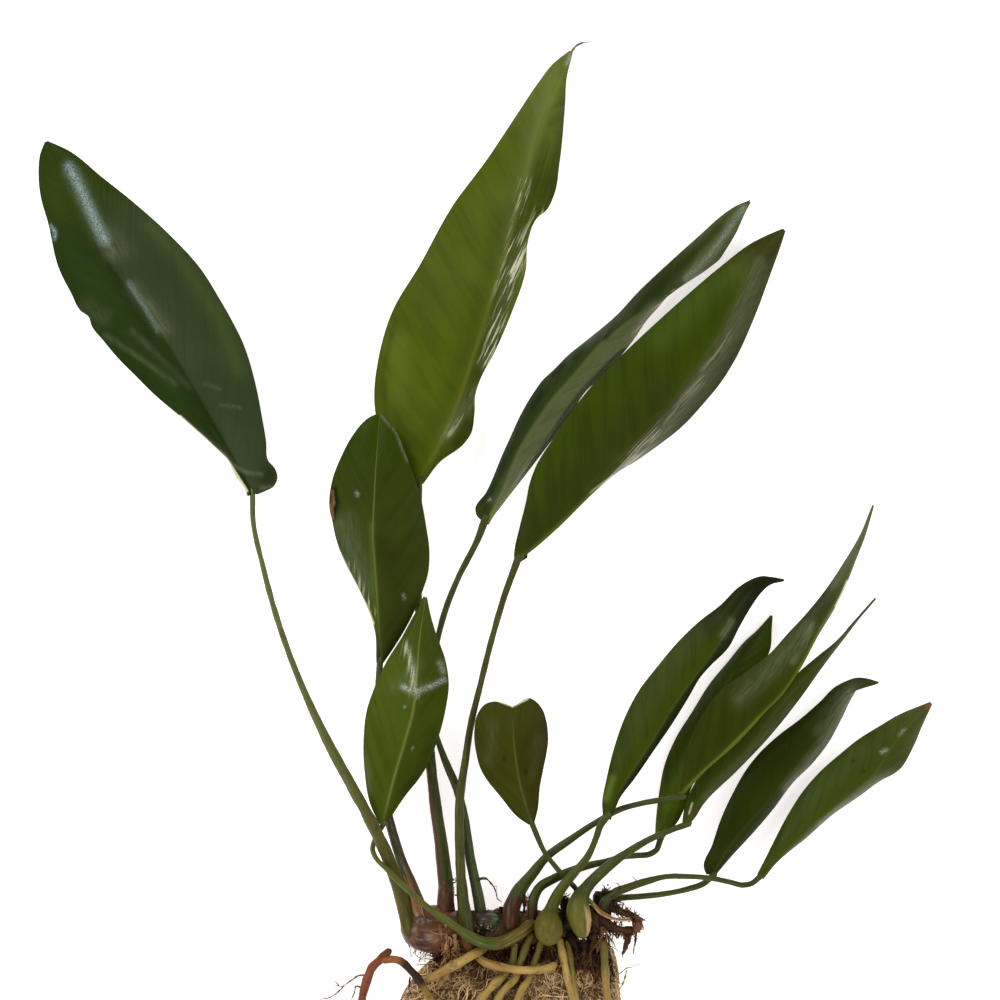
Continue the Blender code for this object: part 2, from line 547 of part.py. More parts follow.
def add_tangle(name, material):
    """Add the root tangle: a flat-bottomed mound that falls away from the stem."""
    middle = np.array(TANGLE_MIDDLE)
    outline = np.array(TANGLE_OUTLINE, dtype=float)
    front = outline[:, 1].max()
    length = front - outline[:, 1].min()
    count = len(outline)
    vertices = []
    for share, height in TANGLE_RINGS:
        ring = middle + (outline - middle) * share
        fall = np.clip((front - ring[:, 1]) / length, 0.0, 1.0) ** TANGLE_FALL_POWER
        heights = height * (1.0 - TANGLE_FALL * fall)
        vertices.extend(zip(ring[:, 0], ring[:, 1], heights))
    middle_fall = ((front - middle[1]) / length) ** TANGLE_FALL_POWER
    vertices.append((*middle, TANGLE_TOP * (1.0 - TANGLE_FALL * middle_fall)))
    faces = []
    for ring in range(len(TANGLE_RINGS) - 1):
        for side in range(count):
            here = ring * count + side
            beside = ring * count + (side + 1) % count
            faces.append((here, here + count, beside + count, beside))
    faces.append(tuple(range(count)))
    last = (len(TANGLE_RINGS) - 1) * count
    top = len(vertices) - 1
    for side in range(count):
        faces.append((last + (side + 1) % count, last + side, top))
    return add_mesh_object(name, vertices, faces, material)


def build():
    """Build the whole plant."""
    clear_scene()
    leaf_green = make_material("leaf_green", (0.045, 0.075, 0.012), 0.35)
    stalk_green = make_material("stalk_green", (0.10, 0.14, 0.03), 0.45)
    stem_brown = make_material("stem_brown", (0.06, 0.035, 0.02), 0.7)
    sheath_brown = make_material("sheath_brown", (0.16, 0.08, 0.045), 0.5)
    root_pale = make_material("root_pale", (0.30, 0.24, 0.09), 0.55)
    root_brown = make_material("root_brown", (0.13, 0.07, 0.035), 0.8)

    add_round_body("rhizome", STEM_STATIONS, STEM_SIDES, stem_brown)
    add_round_body("crown_sheath", SHEATH_STATIONS, STEM_SIDES, sheath_brown)
    for name, form in BLADES.items():
        add_blade(name, form, leaf_green)
    for name, form in STALKS.items():
        path = list(form["path"])
        if form["socket"]:
            path += socket_points(form["socket"], outwards=False)
        add_tube(name, path, form["radius"], STALK_RINGS, STALK_SIDES, stalk_green)
    for name, form in ROOTS.items():
        path = list(form["path"])
        if form["socket"]:
            path = socket_points(form["socket"], outwards=True) + path
        material = root_brown if name == "loop_root" else root_pale
        add_tube(name, path, form["radius"], ROOT_RINGS, ROOT_SIDES, material)
    for name, form in DEAD_BASES.items():
        add_tube(name, form["path"], form["radius"], ROOT_RINGS, ROOT_SIDES, stem_brown)
    add_tangle("root_mass", root_brown)


build()
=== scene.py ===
"""A bare-root anubias lying on its side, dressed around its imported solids.

Places and sizes are in millimetres in the plant's own frame. Its leaves point to +Y, its
roots to -Y, and Z = 0 is the surface that it lies on. They become metres where a mesh is
made. Shapes are smooth lines through a few points, and surfaces spanned between them.
"""
import logging
import math
from dataclasses import dataclass, field
from enum import Enum

import bpy
import numpy as np
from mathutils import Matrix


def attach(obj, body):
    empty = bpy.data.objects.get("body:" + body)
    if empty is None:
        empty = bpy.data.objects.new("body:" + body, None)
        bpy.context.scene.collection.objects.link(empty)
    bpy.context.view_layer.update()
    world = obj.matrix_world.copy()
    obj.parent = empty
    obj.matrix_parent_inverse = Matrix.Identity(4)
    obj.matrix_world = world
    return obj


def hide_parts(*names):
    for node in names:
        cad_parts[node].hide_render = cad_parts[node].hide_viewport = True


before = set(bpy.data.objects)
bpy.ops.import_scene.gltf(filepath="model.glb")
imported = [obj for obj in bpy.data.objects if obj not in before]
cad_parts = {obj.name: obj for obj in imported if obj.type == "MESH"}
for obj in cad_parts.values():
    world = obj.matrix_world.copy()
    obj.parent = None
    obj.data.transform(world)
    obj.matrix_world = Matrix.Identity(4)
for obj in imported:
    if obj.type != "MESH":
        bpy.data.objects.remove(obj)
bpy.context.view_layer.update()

MM = 0.001
BODY = "root"
LOG = logging.getLogger("anubias")

Colour = tuple[float, float, float]
Points = tuple[tuple[float, ...], ...]


def paint(red: float, green: float, blue: float) -> Colour:
    """Turn a screen colour of 0 to 255 into the linear values that shaders take.

    Args:
        red: Screen red.
        green: Screen green.
        blue: Screen blue.

    Returns:
        Linear red, green and blue, each its share of 255 to the power 2.2.
    """
    return tuple((value / 255.0) ** 2.2 for value in (red, green, blue))


def smooth_line(points: Points, stations: np.ndarray) -> np.ndarray:
    """Read a smooth line through points at shares of its length.

    Each span is a cubic Hermite. Its end slopes are the central differences, with the
    distance along the points as the parameter.

    Args:
        points: The places or values that the line passes, in order.
        stations: Shares of the length, from 0 to 1.

    Returns:
        One row for each station.
    """
    knots_at = np.asarray(points, dtype=float)
    steps = np.linalg.norm(np.diff(knots_at[:, :2], axis=0), axis=1)
    knots = np.concatenate(([0.0], np.cumsum(steps)))
    slopes = np.gradient(knots_at, knots, axis=0)
    places = np.asarray(stations) * knots[-1]
    span = np.clip(np.searchsorted(knots, places, side="right") - 1, 0, len(steps) - 1)
    width = steps[span][:, None]
    t = (places - knots[span])[:, None] / width
    return (
        (2 * t**3 - 3 * t**2 + 1) * knots_at[span]
        + (t**3 - 2 * t**2 + t) * width * slopes[span]
        + (3 * t**2 - 2 * t**3) * knots_at[span + 1]
        + (t**3 - t**2) * width * slopes[span + 1]
    )


def profile(values: tuple[float, ...], stations: np.ndarray) -> np.ndarray:
    """Read evenly spaced values as a smooth curve at shares from 0 to 1.

    Args:
        values: The values, evenly spaced.
        stations: Shares from 0 to 1.

    Returns:
        One value for each station.
    """
    spaced = tuple((float(index), 0.0, value) for index, value in enumerate(values))
    return smooth_line(spaced, stations)[:, 2]


def wander(places: np.ndarray, size: float, seed: int, waves: int = 9) -> np.ndarray:
    """A smooth random field: the mean of sine waves of one size in random directions.

    Args:
        places: Points in millimetres, in rows.
        size: Distance from crest to crest in millimetres.
        seed: Number that fixes the directions and the phases.
        waves: How many waves are added.

    Returns:
        One value for each point, mostly between -1 and 1.
    """
    rng = np.random.default_rng(seed)
    ways = rng.normal(size=(waves, 3))
    ways /= np.linalg.norm(ways, axis=1, keepdims=True)
    stretch = rng.uniform(0.7, 1.4, waves) * 2 * math.pi / size
    phases = rng.uniform(0.0, 2 * math.pi, waves)
    angles = places @ (ways * stretch[:, None]).T + phases
    return np.sin(angles).sum(axis=-1) / math.sqrt(waves)


def grid_faces(rows: int, columns: int, ring: bool) -> np.ndarray:
    """Return the quads of a grid of points numbered row by row.

    Args:
        rows: Number of rows of points.
        columns: Number of points in a row.
        ring: Whether each row closes on itself.

    Returns:
        Four point numbers for each face.
    """
    row = np.arange(rows - 1)[:, None] * columns
    column = np.arange(columns if ring else columns - 1)[None, :]
    beside = (column + 1) % columns
    corners = (row + column, row + beside, row + beside + columns, row + column + columns)
    return np.stack([corner.ravel() for corner in corners], axis=1)


def closed_faces(rows: int, around: int) -> np.ndarray:
    """Return the faces of rings with a pole point before the first and after the last one.

    Args:
        rows: Number of rings.
        around: Number of points in a ring.

    Returns:
        Four point numbers for each face. A triangle at a pole has its pole twice.
    """
    last = rows * around + 1
    rings = np.arange(1, last).reshape(rows, around)
    numbers = np.vstack((np.zeros((1, around), int), rings, np.full((1, around), last)))
    return numbers.ravel()[grid_faces(rows + 2, around, ring=True)]


def face_outwards(points: np.ndarray, faces: np.ndarray) -> np.ndarray:
    """Turn the faces of a closed mesh over if its enclosed volume comes out negative.

    Args:
        points: The mesh's points.
        faces: Quads, all turned the same way.

    Returns:
        The quads, facing out.
    """
    a, b, c, d = (points[faces[:, corner]] for corner in range(4))
    volume = (np.cross(b, c) * a).sum() + (np.cross(c, d) * a).sum()
    return faces if volume > 0 else faces[:, ::-1]


def make_piece(name: str, points: np.ndarray, faces: np.ndarray,
               marks: dict[str, np.ndarray], uv: np.ndarray | None = None) -> bpy.types.Object:
    """Make a smooth mesh object at the origin.

    Args:
        name: The object's name.
        points: Places in millimetres, in rows.
        faces: Four point numbers for each face, with one of them twice for a triangle.
        marks: A value, or a row of three, for each point, by attribute name.
        uv: Two coordinates for each point, or None.

    Returns:
        The object, linked to the scene.
    """
    mesh = bpy.data.meshes.new(name)
    mesh.vertices.add(len(points))
    mesh.vertices.foreach_set("co", (points * MM).astype(np.float32).ravel())
    used = faces != np.roll(faces, 1, axis=1)
    corners = faces[used].astype(np.int32)
    ends = np.cumsum(used.sum(axis=1))
    mesh.loops.add(len(corners))
    mesh.loops.foreach_set("vertex_index", corners)
    mesh.polygons.add(len(faces))
    mesh.polygons.foreach_set("loop_start", np.append(0, ends[:-1]).astype(np.int32))
    mesh.update(calc_edges=True)
    mesh.shade_smooth()
    for key, values in marks.items():
        vector = values.ndim == 2
        kind = "FLOAT_VECTOR" if vector else "FLOAT"
        layer = mesh.attributes.new(key, kind, "POINT")
        layer.data.foreach_set("vector" if vector else "value", values.astype(np.float32).ravel())
    if uv is not None:
        layer = mesh.uv_layers.new(name="UVMap")
        layer.uv.foreach_set("vector", uv[corners].astype(np.float32).ravel())
    mesh.validate()
    piece = bpy.data.objects.new(name, mesh)
    bpy.context.scene.collection.objects.link(piece)
    return piece


def settle(piece: bpy.types.Object, material: bpy.types.Material, slot: str,
           *nodes: str) -> bpy.types.Object:
    """Dress a piece, let it ride on the plant and stand for its solids.

    Args:
        piece: The object.
        material: Its finish.
        slot: Not used.
        nodes: The solids that it stands for.

    Returns:
        The same object.
    """
    piece.data.materials.append(material)
    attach(piece, BODY)
    if nodes:
        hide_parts(*nodes)
    LOG.info("%s: %d faces, stands for %s", piece.name, len(piece.data.polygons),
             ", ".join(nodes) or "no solid")
    return piece


class NodeSheet:
    """A material's node tree, with short ways to add and join its nodes."""

    MIX_SHARE, MIX_FIRST, MIX_SECOND, MIX_RESULT = 0, 6, 7, 2

    def __init__(self, name: str, **constants: float) -> None:
        """Start a material.

        Args:
            name: The material's name.
            constants: Values set on the shader's own sockets, by socket name with _ for a space.
        """
        self.material = bpy.data.materials.new(name)
        self.material.use_nodes = True
        self.tree = self.material.node_tree
        self.shader = self.tree.nodes["Principled BSDF"]
        for key, value in constants.items():
            self.shader.inputs[key.replace("_", " ")].default_value = value

    def feed(self, socket: bpy.types.NodeSocket, value: object) -> None:
        """Join a socket to another one, or set its value."""
        if isinstance(value, bpy.types.NodeSocket):
            self.tree.links.new(value, socket)
        elif isinstance(value, tuple) and len(value) == 3 and socket.type == "RGBA":
            socket.default_value = (*value, 1.0)
        else:
            socket.default_value = value

    def calc(self, operation: str, *values: object, clamp: bool = False) -> bpy.types.NodeSocket:
        """Add a Math node.

        Args:
            operation: Its operation.
            values: Sockets or numbers, in the node's order.
            clamp: Whether the result is kept from 0 to 1.

        Returns:
            The result.
        """
        node = self.tree.nodes.new("ShaderNodeMath")
        node.operation = operation
        node.use_clamp = clamp
        for socket, value in zip(node.inputs, values):
            self.feed(socket, value)
        return node.outputs[0]

    def mix(self, share: object, first: object, second: object,
            blend: str = "MIX") -> bpy.types.NodeSocket:
        """Mix two colours.

        Args:
            share: Share of the second colour.
            first: Colour or socket.
            second: Colour or socket.
            blend: The node's blend type.

        Returns:
            The mixed colour.
        """
        node = self.tree.nodes.new("ShaderNodeMix")
        node.data_type = "RGBA"
        node.blend_type = blend
        self.feed(node.inputs[self.MIX_SHARE], share)
        self.feed(node.inputs[self.MIX_FIRST], first)
        self.feed(node.inputs[self.MIX_SECOND], second)
        return node.outputs[self.MIX_RESULT]

    def step(self, value: object, low: float, high: float) -> bpy.types.NodeSocket:
        """Return a smooth step from 0 at low to 1 at high; low may be the greater."""
        node = self.tree.nodes.new("ShaderNodeMapRange")
        node.interpolation_type = "SMOOTHSTEP"
        for socket, number in zip(node.inputs, (value, low, high, 0.0, 1.0)):
            self.feed(socket, number)
        return node.outputs[0]

    def bell(self, value: object, width: object) -> bpy.types.NodeSocket:
        """Return 1 / (1 + (value / width)^4), a flat-topped bump around 0."""
        ratio = self.calc("DIVIDE", value, width)
        fourth = self.calc("POWER", self.calc("ABSOLUTE", ratio), 4.0)
        return self.calc("DIVIDE", 1.0, self.calc("ADD", fourth, 1.0))

    def solid_place(self, stretch: tuple[float, float, float] = (1, 1, 1)) -> bpy.types.NodeSocket:
        """Return Object coordinates in metres, stretched along each axis."""
        place = self.tree.nodes.new("ShaderNodeTexCoord").outputs["Object"]
        node = self.tree.nodes.new("ShaderNodeMapping")
        self.feed(node.inputs["Vector"], place)
        node.inputs["Scale"].default_value = stretch
        return node.outputs["Vector"]

    def noise(self, place: object, scale: float, detail: float = 3.0,
              rough: float = 0.55) -> bpy.types.NodeSocket:
        """Return fractal noise, mostly from 0.3 to 0.7, with scale in cells a unit."""
        node = self.tree.nodes.new("ShaderNodeTexNoise")
        self.feed(node.inputs["Vector"], place)
        node.inputs["Scale"].default_value = scale
        node.inputs["Detail"].default_value = detail
        node.inputs["Roughness"].default_value = rough
        return node.outputs["Fac"]

    def attribute(self, name: str, output: str = "Fac") -> bpy.types.NodeSocket:
        """Return a value that the mesh carries for each point."""
        node = self.tree.nodes.new("ShaderNodeAttribute")
        node.attribute_name = name
        return node.outputs[output]

    def parts(self, vector: bpy.types.NodeSocket) -> list[bpy.types.NodeSocket]:
        """Return the three parts of a vector."""
        node = self.tree.nodes.new("ShaderNodeSeparateXYZ")
        self.feed(node.inputs[0], vector)
        return list(node.outputs)

    def joined(self, x: object, y: object, z: object) -> bpy.types.NodeSocket:
        """Return a vector made of three values."""
        node = self.tree.nodes.new("ShaderNodeCombineXYZ")
        for socket, value in zip(node.inputs, (x, y, z)):
            self.feed(socket, value)
        return node.outputs[0]

    def finish(self, colour: object, rough: object, height: object,
               relief: float) -> bpy.types.Material:
        """Join the colour, the roughness and the bump to the shader.

        Args:
            colour: Base colour.
            rough: Roughness.
            height: Bump height as a share of the relief.
            relief: Bump height in metres.

        Returns:
            The finished material.
        """
        self.feed(self.shader.inputs["Base Color"], colour)
        self.feed(self.shader.inputs["Roughness"], rough)
        bump = self.tree.nodes.new("ShaderNodeBump")
        bump.inputs["Distance"].default_value = relief
        self.feed(bump.inputs["Height"], height)
        self.feed(self.shader.inputs["Normal"], bump.outputs["Normal"])
        return self.material


class Mark(Enum):
    """What a stroke on a blade shows. The value is the name of the mesh attribute."""

    # SHEEN and GLINT paint reflections into the colour: streaky grey-green glare and speckled pale
    # highlights.
    SHEEN = "sheen"
    PALE = "pale"
    BROWN = "brown"
    DARK = "dark"
    FRESH = "fresh"
    GLINT = "glint"
    # Painted highlight: cream glare streaks along fine wrinkles; the same mask also raises a real bump.
    WRINKLE_GLARE = "wrinkle_glare"
    DUSK = "dusk"


@dataclass(frozen=True)
class Stroke:
    """A soft stroke on a blade, along a path in plan."""

    mark: Mark
    path: Points
    width: float
    strength: float = 1.0

    def weight(self, places: np.ndarray) -> np.ndarray:
        """Strength times exp(-(d / width)^2), d the distance in plan to the path.

        Args:
            places: Points in millimetres, in rows.

        Returns:
            One value for each point.
        """
        return self.strength * np.exp(-(plan_distance(places, self.path) / self.width) ** 2)


@dataclass(frozen=True)
class Pleat:
    """A soft ridge, or a groove if its height is negative, along a path in plan."""

    path: Points
    width: float
    height: float

    def lift(self, places: np.ndarray) -> np.ndarray:
        """Height times exp(-(d / width)^2), d the distance in plan to the path."""
        return self.height * np.exp(-(plan_distance(places, self.path) / self.width) ** 2)


def plan_distance(places: np.ndarray, path: Points) -> np.ndarray:
    """Distance in plan from points to a path of straight runs.

    Args:
        places: Points in millimetres, in rows.
        path: The path's corners, x and y.

    Returns:
        One distance for each point: the least over the runs, each with its nearest place.
    """
    corners = np.asarray(path, dtype=float)
    if len(corners) == 1:
        corners = np.repeat(corners, 2, axis=0)
    starts, runs = corners[:-1], np.diff(corners, axis=0)
    offset = places[:, None, :2] - starts[None]
    squares = np.maximum((runs**2).sum(axis=1), 1e-9)
    share = np.clip((offset * runs[None]).sum(axis=2) / squares, 0.0, 1.0)
    gap = offset - share[..., None] * runs[None]
    return np.sqrt((gap**2).sum(axis=2)).min(axis=1)


@dataclass(frozen=True)
class LeafFinish:
    """Leathery leaf skin: two half colours, side veins, a midrib and the blade's marks. The half colours
    are partly painted light: one half greyer as if catching glare, the other darker as if in shade.
    """

    left: Colour
    right: Colour
    tip: Colour
    rib: Colour
    rib_width: float = 0.45
    tip_from: float = 0.62
    tip_to: float = 0.95
    rib_show: float = 0.8
    vein_show: float = 0.25
    vein_gap: float = 6.0
    vein_lean: float = 1.7
    edge: Colour = paint(60, 62, 30)
    edge_show: float = 0.35
    glint: Colour = paint(190, 198, 184)
    slant: float = -0.1
    rough: float = 0.3

    def make(self, name: str, length: float) -> bpy.types.Material:
        """Build the material.

        Side veins are noise over the place on the midrib that each point's vein leaves:
        the distance along, less the distance across times the lean.

        Args:
            name: The material's name.
            length: The blade's length in millimetres.

        Returns:
            The material.
        """
        sheet = NodeSheet(name, Specular_IOR_Level=0.04)
        along, across, share = sheet.parts(sheet.attribute("leaf_place", "Vector"))
        place = sheet.solid_place()
        cloud = sheet.noise(place, 55.0)
        grain = sheet.noise(place, 900.0, 2.0)
        speck = sheet.noise(place, 2600.0, 3.0, 0.7)
        reach = sheet.calc("ABSOLUTE", across)
        start = sheet.calc("SUBTRACT", along, sheet.calc("MULTIPLY", reach, self.vein_lean))
        stripe = sheet.joined(sheet.calc("DIVIDE", start, self.vein_gap),
                              sheet.calc("MULTIPLY", across, 0.03), 0.0)
        stripe = sheet.step(sheet.noise(stripe, 1.6, 2.0, 0.6), 0.42, 0.68)
        thread = sheet.calc("SINE", sheet.calc("MULTIPLY", start, 2 * math.pi / 0.9))

        # Painted sheen and shade: each half of the blade gets its own colour, one greyer as if catching
        # glare, the other darker as if turned from the light.
        colour = sheet.mix(sheet.step(across, -0.35, 0.35), self.left, self.right)
        colour = sheet.mix(sheet.step(along, self.tip_from * length, self.tip_to * length),
                           colour, self.tip)
        tone = sheet.calc("ADD", 0.72, sheet.calc("MULTIPLY", cloud, 0.56))
        colour = sheet.mix(1.0, colour, sheet.joined(tone, tone, tone), "MULTIPLY")
        inner = sheet.step(reach, 0.6, 3.0)
        vein = sheet.calc("MULTIPLY", sheet.calc("MULTIPLY", stripe, inner), self.vein_show)
        colour = sheet.mix(vein, colour, paint(25, 36, 8))
        fresh = sheet.attribute(Mark.FRESH.value)
        colour = sheet.mix(fresh, colour, paint(112, 132, 52))
        taper = sheet.step(along, length, 0.35 * length)
        rib_width = sheet.calc("MULTIPLY", sheet.calc("ADD", 0.35, taper), self.rib_width)
        rib = sheet.calc("MULTIPLY", sheet.bell(across, rib_width), self.rib_show)
        colour = sheet.mix(rib, colour, self.rib)
        edge = sheet.step(sheet.calc("ABSOLUTE", share), 0.965, 1.0)
        colour = sheet.mix(sheet.calc("MULTIPLY", edge, self.edge_show), colour, self.edge)

        # Painted reflections: the sheen strokes paint streaky grey-green glare and the glint strokes paint
        # speckled pale highlights.
        streak_place = sheet.joined(sheet.calc("MULTIPLY", along, 0.12), across, 0.0)
        streak = sheet.noise(streak_place, 1.5, 4.0, 0.7)
        sheen = sheet.attribute(Mark.SHEEN.value)
        sheen = sheet.calc("MULTIPLY", sheen, sheet.step(streak, 0.2, 0.68), clamp=True)
        colour = sheet.mix(sheen, colour, paint(106, 112, 84))
        dusk = sheet.attribute(Mark.DUSK.value)
        colour = sheet.mix(dusk, colour, paint(50, 44, 30))
        patchy = sheet.calc("ADD", 0.12, sheet.calc("MULTIPLY", sheet.step(speck, 0.4, 0.62), 0.88))
        glint = sheet.calc("MULTIPLY", sheet.attribute(Mark.GLINT.value), patchy)
        colour = sheet.mix(glint, colour, self.glint)
        # Painted highlight: cream glare streaks, paint(206, 202, 166), where the wrinkle strokes lie; the
        # same mask adds a real bump to the height below.
        slant = sheet.calc("ADD", across, sheet.calc("MULTIPLY", along, self.slant))
        fold_glare = sheet.noise(sheet.joined(sheet.calc("MULTIPLY", along, 0.07), slant, 0.0),
                           1.1, 3.0, 0.6)
        fold_glare = sheet.calc("MULTIPLY", sheet.step(fold_glare, 0.5, 0.6),
                          sheet.attribute(Mark.WRINKLE_GLARE.value), clamp=True)
        colour = sheet.mix(fold_glare, colour, paint(206, 202, 166))
        dark = sheet.attribute(Mark.DARK.value)
        colour = sheet.mix(dark, colour, paint(24, 27, 10))
        brown = sheet.step(sheet.calc("ADD", sheet.attribute(Mark.BROWN.value),
                                      sheet.calc("MULTIPLY", grain, 0.3)), 0.35, 0.75)
        colour = sheet.mix(brown, colour, sheet.mix(grain, paint(70, 45, 30), paint(135, 100, 66)))
        pale = sheet.attribute(Mark.PALE.value)
        pale = sheet.step(sheet.calc("ADD", pale, sheet.calc("MULTIPLY", speck, 0.5)), 0.45, 1.05)
        colour = sheet.mix(pale, colour, paint(200, 194, 158))

        rough = sheet.calc("ADD", self.rough, sheet.calc("MULTIPLY", grain, 0.12))
        rough = sheet.calc("SUBTRACT", rough, sheet.calc("MULTIPLY", sheen, 0.12))
        rough = sheet.calc("ADD", rough, sheet.calc("MULTIPLY", brown, 0.25), clamp=True)
        height = sheet.calc("ADD", sheet.calc("MULTIPLY", thread, 0.03),
                            sheet.calc("MULTIPLY", stripe, 0.5))
        height = sheet.calc("ADD", height, sheet.calc("MULTIPLY", streak, sheen))
        height = sheet.calc("ADD", height, sheet.calc("MULTIPLY", fold_glare, 2.0))
        height = sheet.calc("ADD", height, sheet.calc("MULTIPLY", grain, 0.35))
        return sheet.finish(colour, rough, height, 0.00012)


@dataclass(frozen=True)
class Blade:
    """A leaf blade: a sheet spanned from its left margin over the midrib to the right one.

    Lines run from the stalk to the tip. Heights are evenly spaced along them.
    """

    name: str
    rib: Points
    left: Points
    right: Points
    rib_heights: tuple[float, ...]
    left_heights: tuple[float, ...]
    right_heights: tuple[float, ...]
    finish: LeafFinish
    bow: tuple[float, float] = (0.6, 0.6)
    rib_rise: float = -0.12
    strokes: tuple[Stroke, ...] = ()
    pleats: tuple[Pleat, ...] = ()
    dry_tip: Points = ()

    STEP_ALONG = 0.65
    COLUMNS = 90
    THICKNESS = 0.46
    EDGE_THICKNESS = 0.14
    RIB_DEPTH = 0.9
    TIP_STOP = 0.997
    FLOOR = 0.03

    def middle(self, u: np.ndarray, v: np.ndarray) -> tuple[np.ndarray, np.ndarray]:
        """Work out the middle surface and each point's place on the leaf.

        A point is rib + |v| (margin - rib), lifted by bow sin(pi |v|), by the pleats, by a
        slight waviness of the margins and by the midrib's bell-shaped rise.

        Args:
            u: Shares from the stalk to the tip.
            v: Shares from the left margin (-1) over the midrib (0) to the right one (1).

        Returns:
            The points, rows along and columns across, and for each the distance along in
            millimetres, the distance across and v.
        """
        lines = []
        for line, heights in ((self.rib, self.rib_heights), (self.left, self.left_heights),
                              (self.right, self.right_heights)):
            flat = smooth_line(line, u * self.TIP_STOP)
            lines.append(np.column_stack((flat, profile(heights, u))))
        rib, left, right = (line[:, None, :] for line in lines)
        side = (v > 0)[None, :, None]
        share = np.abs(v)[None, :, None]
        to_margin = np.where(side, right, left) - rib
        surface = rib + share * to_margin
        bow = np.where(side, self.bow[1], self.bow[0])[..., 0] * np.sin(math.pi * share[..., 0])
        across = np.sign(v)[None] * share[..., 0] * np.linalg.norm(to_margin, axis=2)
        length = self.length()
        flat = surface.reshape(-1, 3)
        lift = sum((pleat.lift(flat) for pleat in self.pleats), np.zeros(len(flat)))
        lift = lift.reshape(across.shape)
        edge_wave = wander(flat, 26.0, len(self.name) + len(self.rib)).reshape(across.shape)
        ends = np.clip(4.0 * u * (1 - u), 0.0, 1.0)[:, None]
        lift += 0.35 * share[..., 0] ** 2 * (edge_wave + 0.6) * ends
        lift += self.rib_rise * np.exp(-(across / 0.8) ** 2) * (1.0 - 0.8 * u[:, None])
        surface[..., 2] += (bow + lift) * np.clip(12.0 * (1 - u), 0.0, 1.0)[:, None]
        along = np.broadcast_to(u[:, None] * length, across.shape)
        return surface, np.stack((along, across, np.broadcast_to(v, across.shape)), axis=-1)

    def length(self) -> float:
        """Return the midrib's length in plan, in millimetres."""
        return float(np.linalg.norm(np.diff(np.asarray(self.rib), axis=0), axis=1).sum())

    def thickness(self, place: np.ndarray) -> tuple[np.ndarray, np.ndarray]:
        """Half thickness over and under the middle surface.

        The body thins to the edge with the sixth power of |v|. Below, a midrib stands out
        as a bell whose depth falls to nothing at the tip.

        Args:
            place: The distance along, the distance across and v of each point.

        Returns:
            The thickness above and below, in millimetres.
        """
        along, across, share = place[..., 0], place[..., 1], np.abs(place[..., 2])
        body = 0.5 * (self.THICKNESS - (self.THICKNESS - self.EDGE_THICKNESS) * share**6)
        depth = self.RIB_DEPTH * (1.0 - along / self.length()) ** 0.8
        return body, body + depth * np.exp(-(across / 0.75) ** 2)

    def build(self) -> bpy.types.Object:
        """Build the closed blade: its upper face, its lower face and its thin edge.

        Returns:
            The object, without its finish.
        """
        rows = int(self.length() / self.STEP_ALONG) + 2
        u = np.linspace(0.0, 1.0, rows)
        v = np.sin(np.linspace(-0.5, 0.5, self.COLUMNS) * math.pi * 0.8)
        v /= v[-1]
        surface, place = self.middle(u, v)
        normal = np.cross(np.gradient(surface, axis=0), np.gradient(surface, axis=1))
        size = np.linalg.norm(normal, axis=2, keepdims=True)
        normal = np.where(size > 1e-9, normal / np.maximum(size, 1e-9), (0.0, 0.0, -1.0))
        normal *= np.where(normal[..., 2:].mean() > 0, 1.0, -1.0)
        over, under = self.thickness(place)
        top = surface + normal * over[..., None]
        bottom = (surface - normal * under[..., None])[:, ::-1]
        points = np.concatenate((top, bottom), axis=1)
        points[..., 2] = np.maximum(points[..., 2], self.FLOOR)
        places = np.concatenate((place, place[:, ::-1]), axis=1)
        across = points.shape[1]
        faces = [grid_faces(rows, across, ring=True)]
        column = np.arange(self.COLUMNS - 1)
        cap = np.stack((column, across - 1 - column, across - 2 - column, column + 1), axis=1)
        faces += [cap, cap[:, ::-1] + (rows - 1) * across]
        flat = points.reshape(-1, 3)
        marks = {"leaf_place": places.reshape(-1, 3)}
        for mark in Mark:
            strokes = [stroke.weight(flat) for stroke in self.strokes if stroke.mark is mark]
            marks[mark.value] = np.clip(sum(strokes, np.zeros(len(flat))), 0.0, 1.0)
        uv = np.empty((rows, across, 2))
        uv[..., 0] = u[:, None]
        uv[..., 1] = np.concatenate((v + 1.0, 3.0 - v[::-1])) / 4.02
        quads = face_outwards(flat, np.concatenate(faces))
        return make_piece(f"blade_{self.name}", flat, quads, marks, uv.reshape(-1, 2))

    def dry_hook(self) -> None:
        """Build the thread that a withered tip ends in."""
        thread = Wisps(f"dry_tip_{self.name}", (Strand(self.dry_tip, 0.42, 0.5),),
                       FibreFinish(paint(40, 28, 22), paint(150, 116, 92)), "leaf", 0.1)
        thread.dress()

    def dress(self) -> bpy.types.Object:
        """Build the blade and give it its finish."""
        material = self.finish.make(f"leaf_skin_{self.name}", self.length())
        if self.dry_tip:
            self.dry_hook()
        return settle(self.build(), material, "leaf", f"leaf_{self.name}")


@dataclass(frozen=True)
class Body:
    """A round body along X: x, y, z and radius at each station."""

    stations: Points

    def surface(self, x: float, angle: float) -> np.ndarray:
        """Return the place on its side at x and an angle from +Y towards +Z."""
        xs, ys, zs, radii = np.asarray(self.stations).T
        radius = np.interp(x, xs, radii)
        return np.array((x, np.interp(x, xs, ys) + radius * math.cos(angle),
                         np.interp(x, xs, zs) + radius * math.sin(angle)))

    def axis(self, x: float) -> np.ndarray:
        """Return the place on its axis at x."""
        xs, ys, zs, _ = np.asarray(self.stations).T
        return np.array((x, np.interp(x, xs, ys), np.interp(x, xs, zs)))


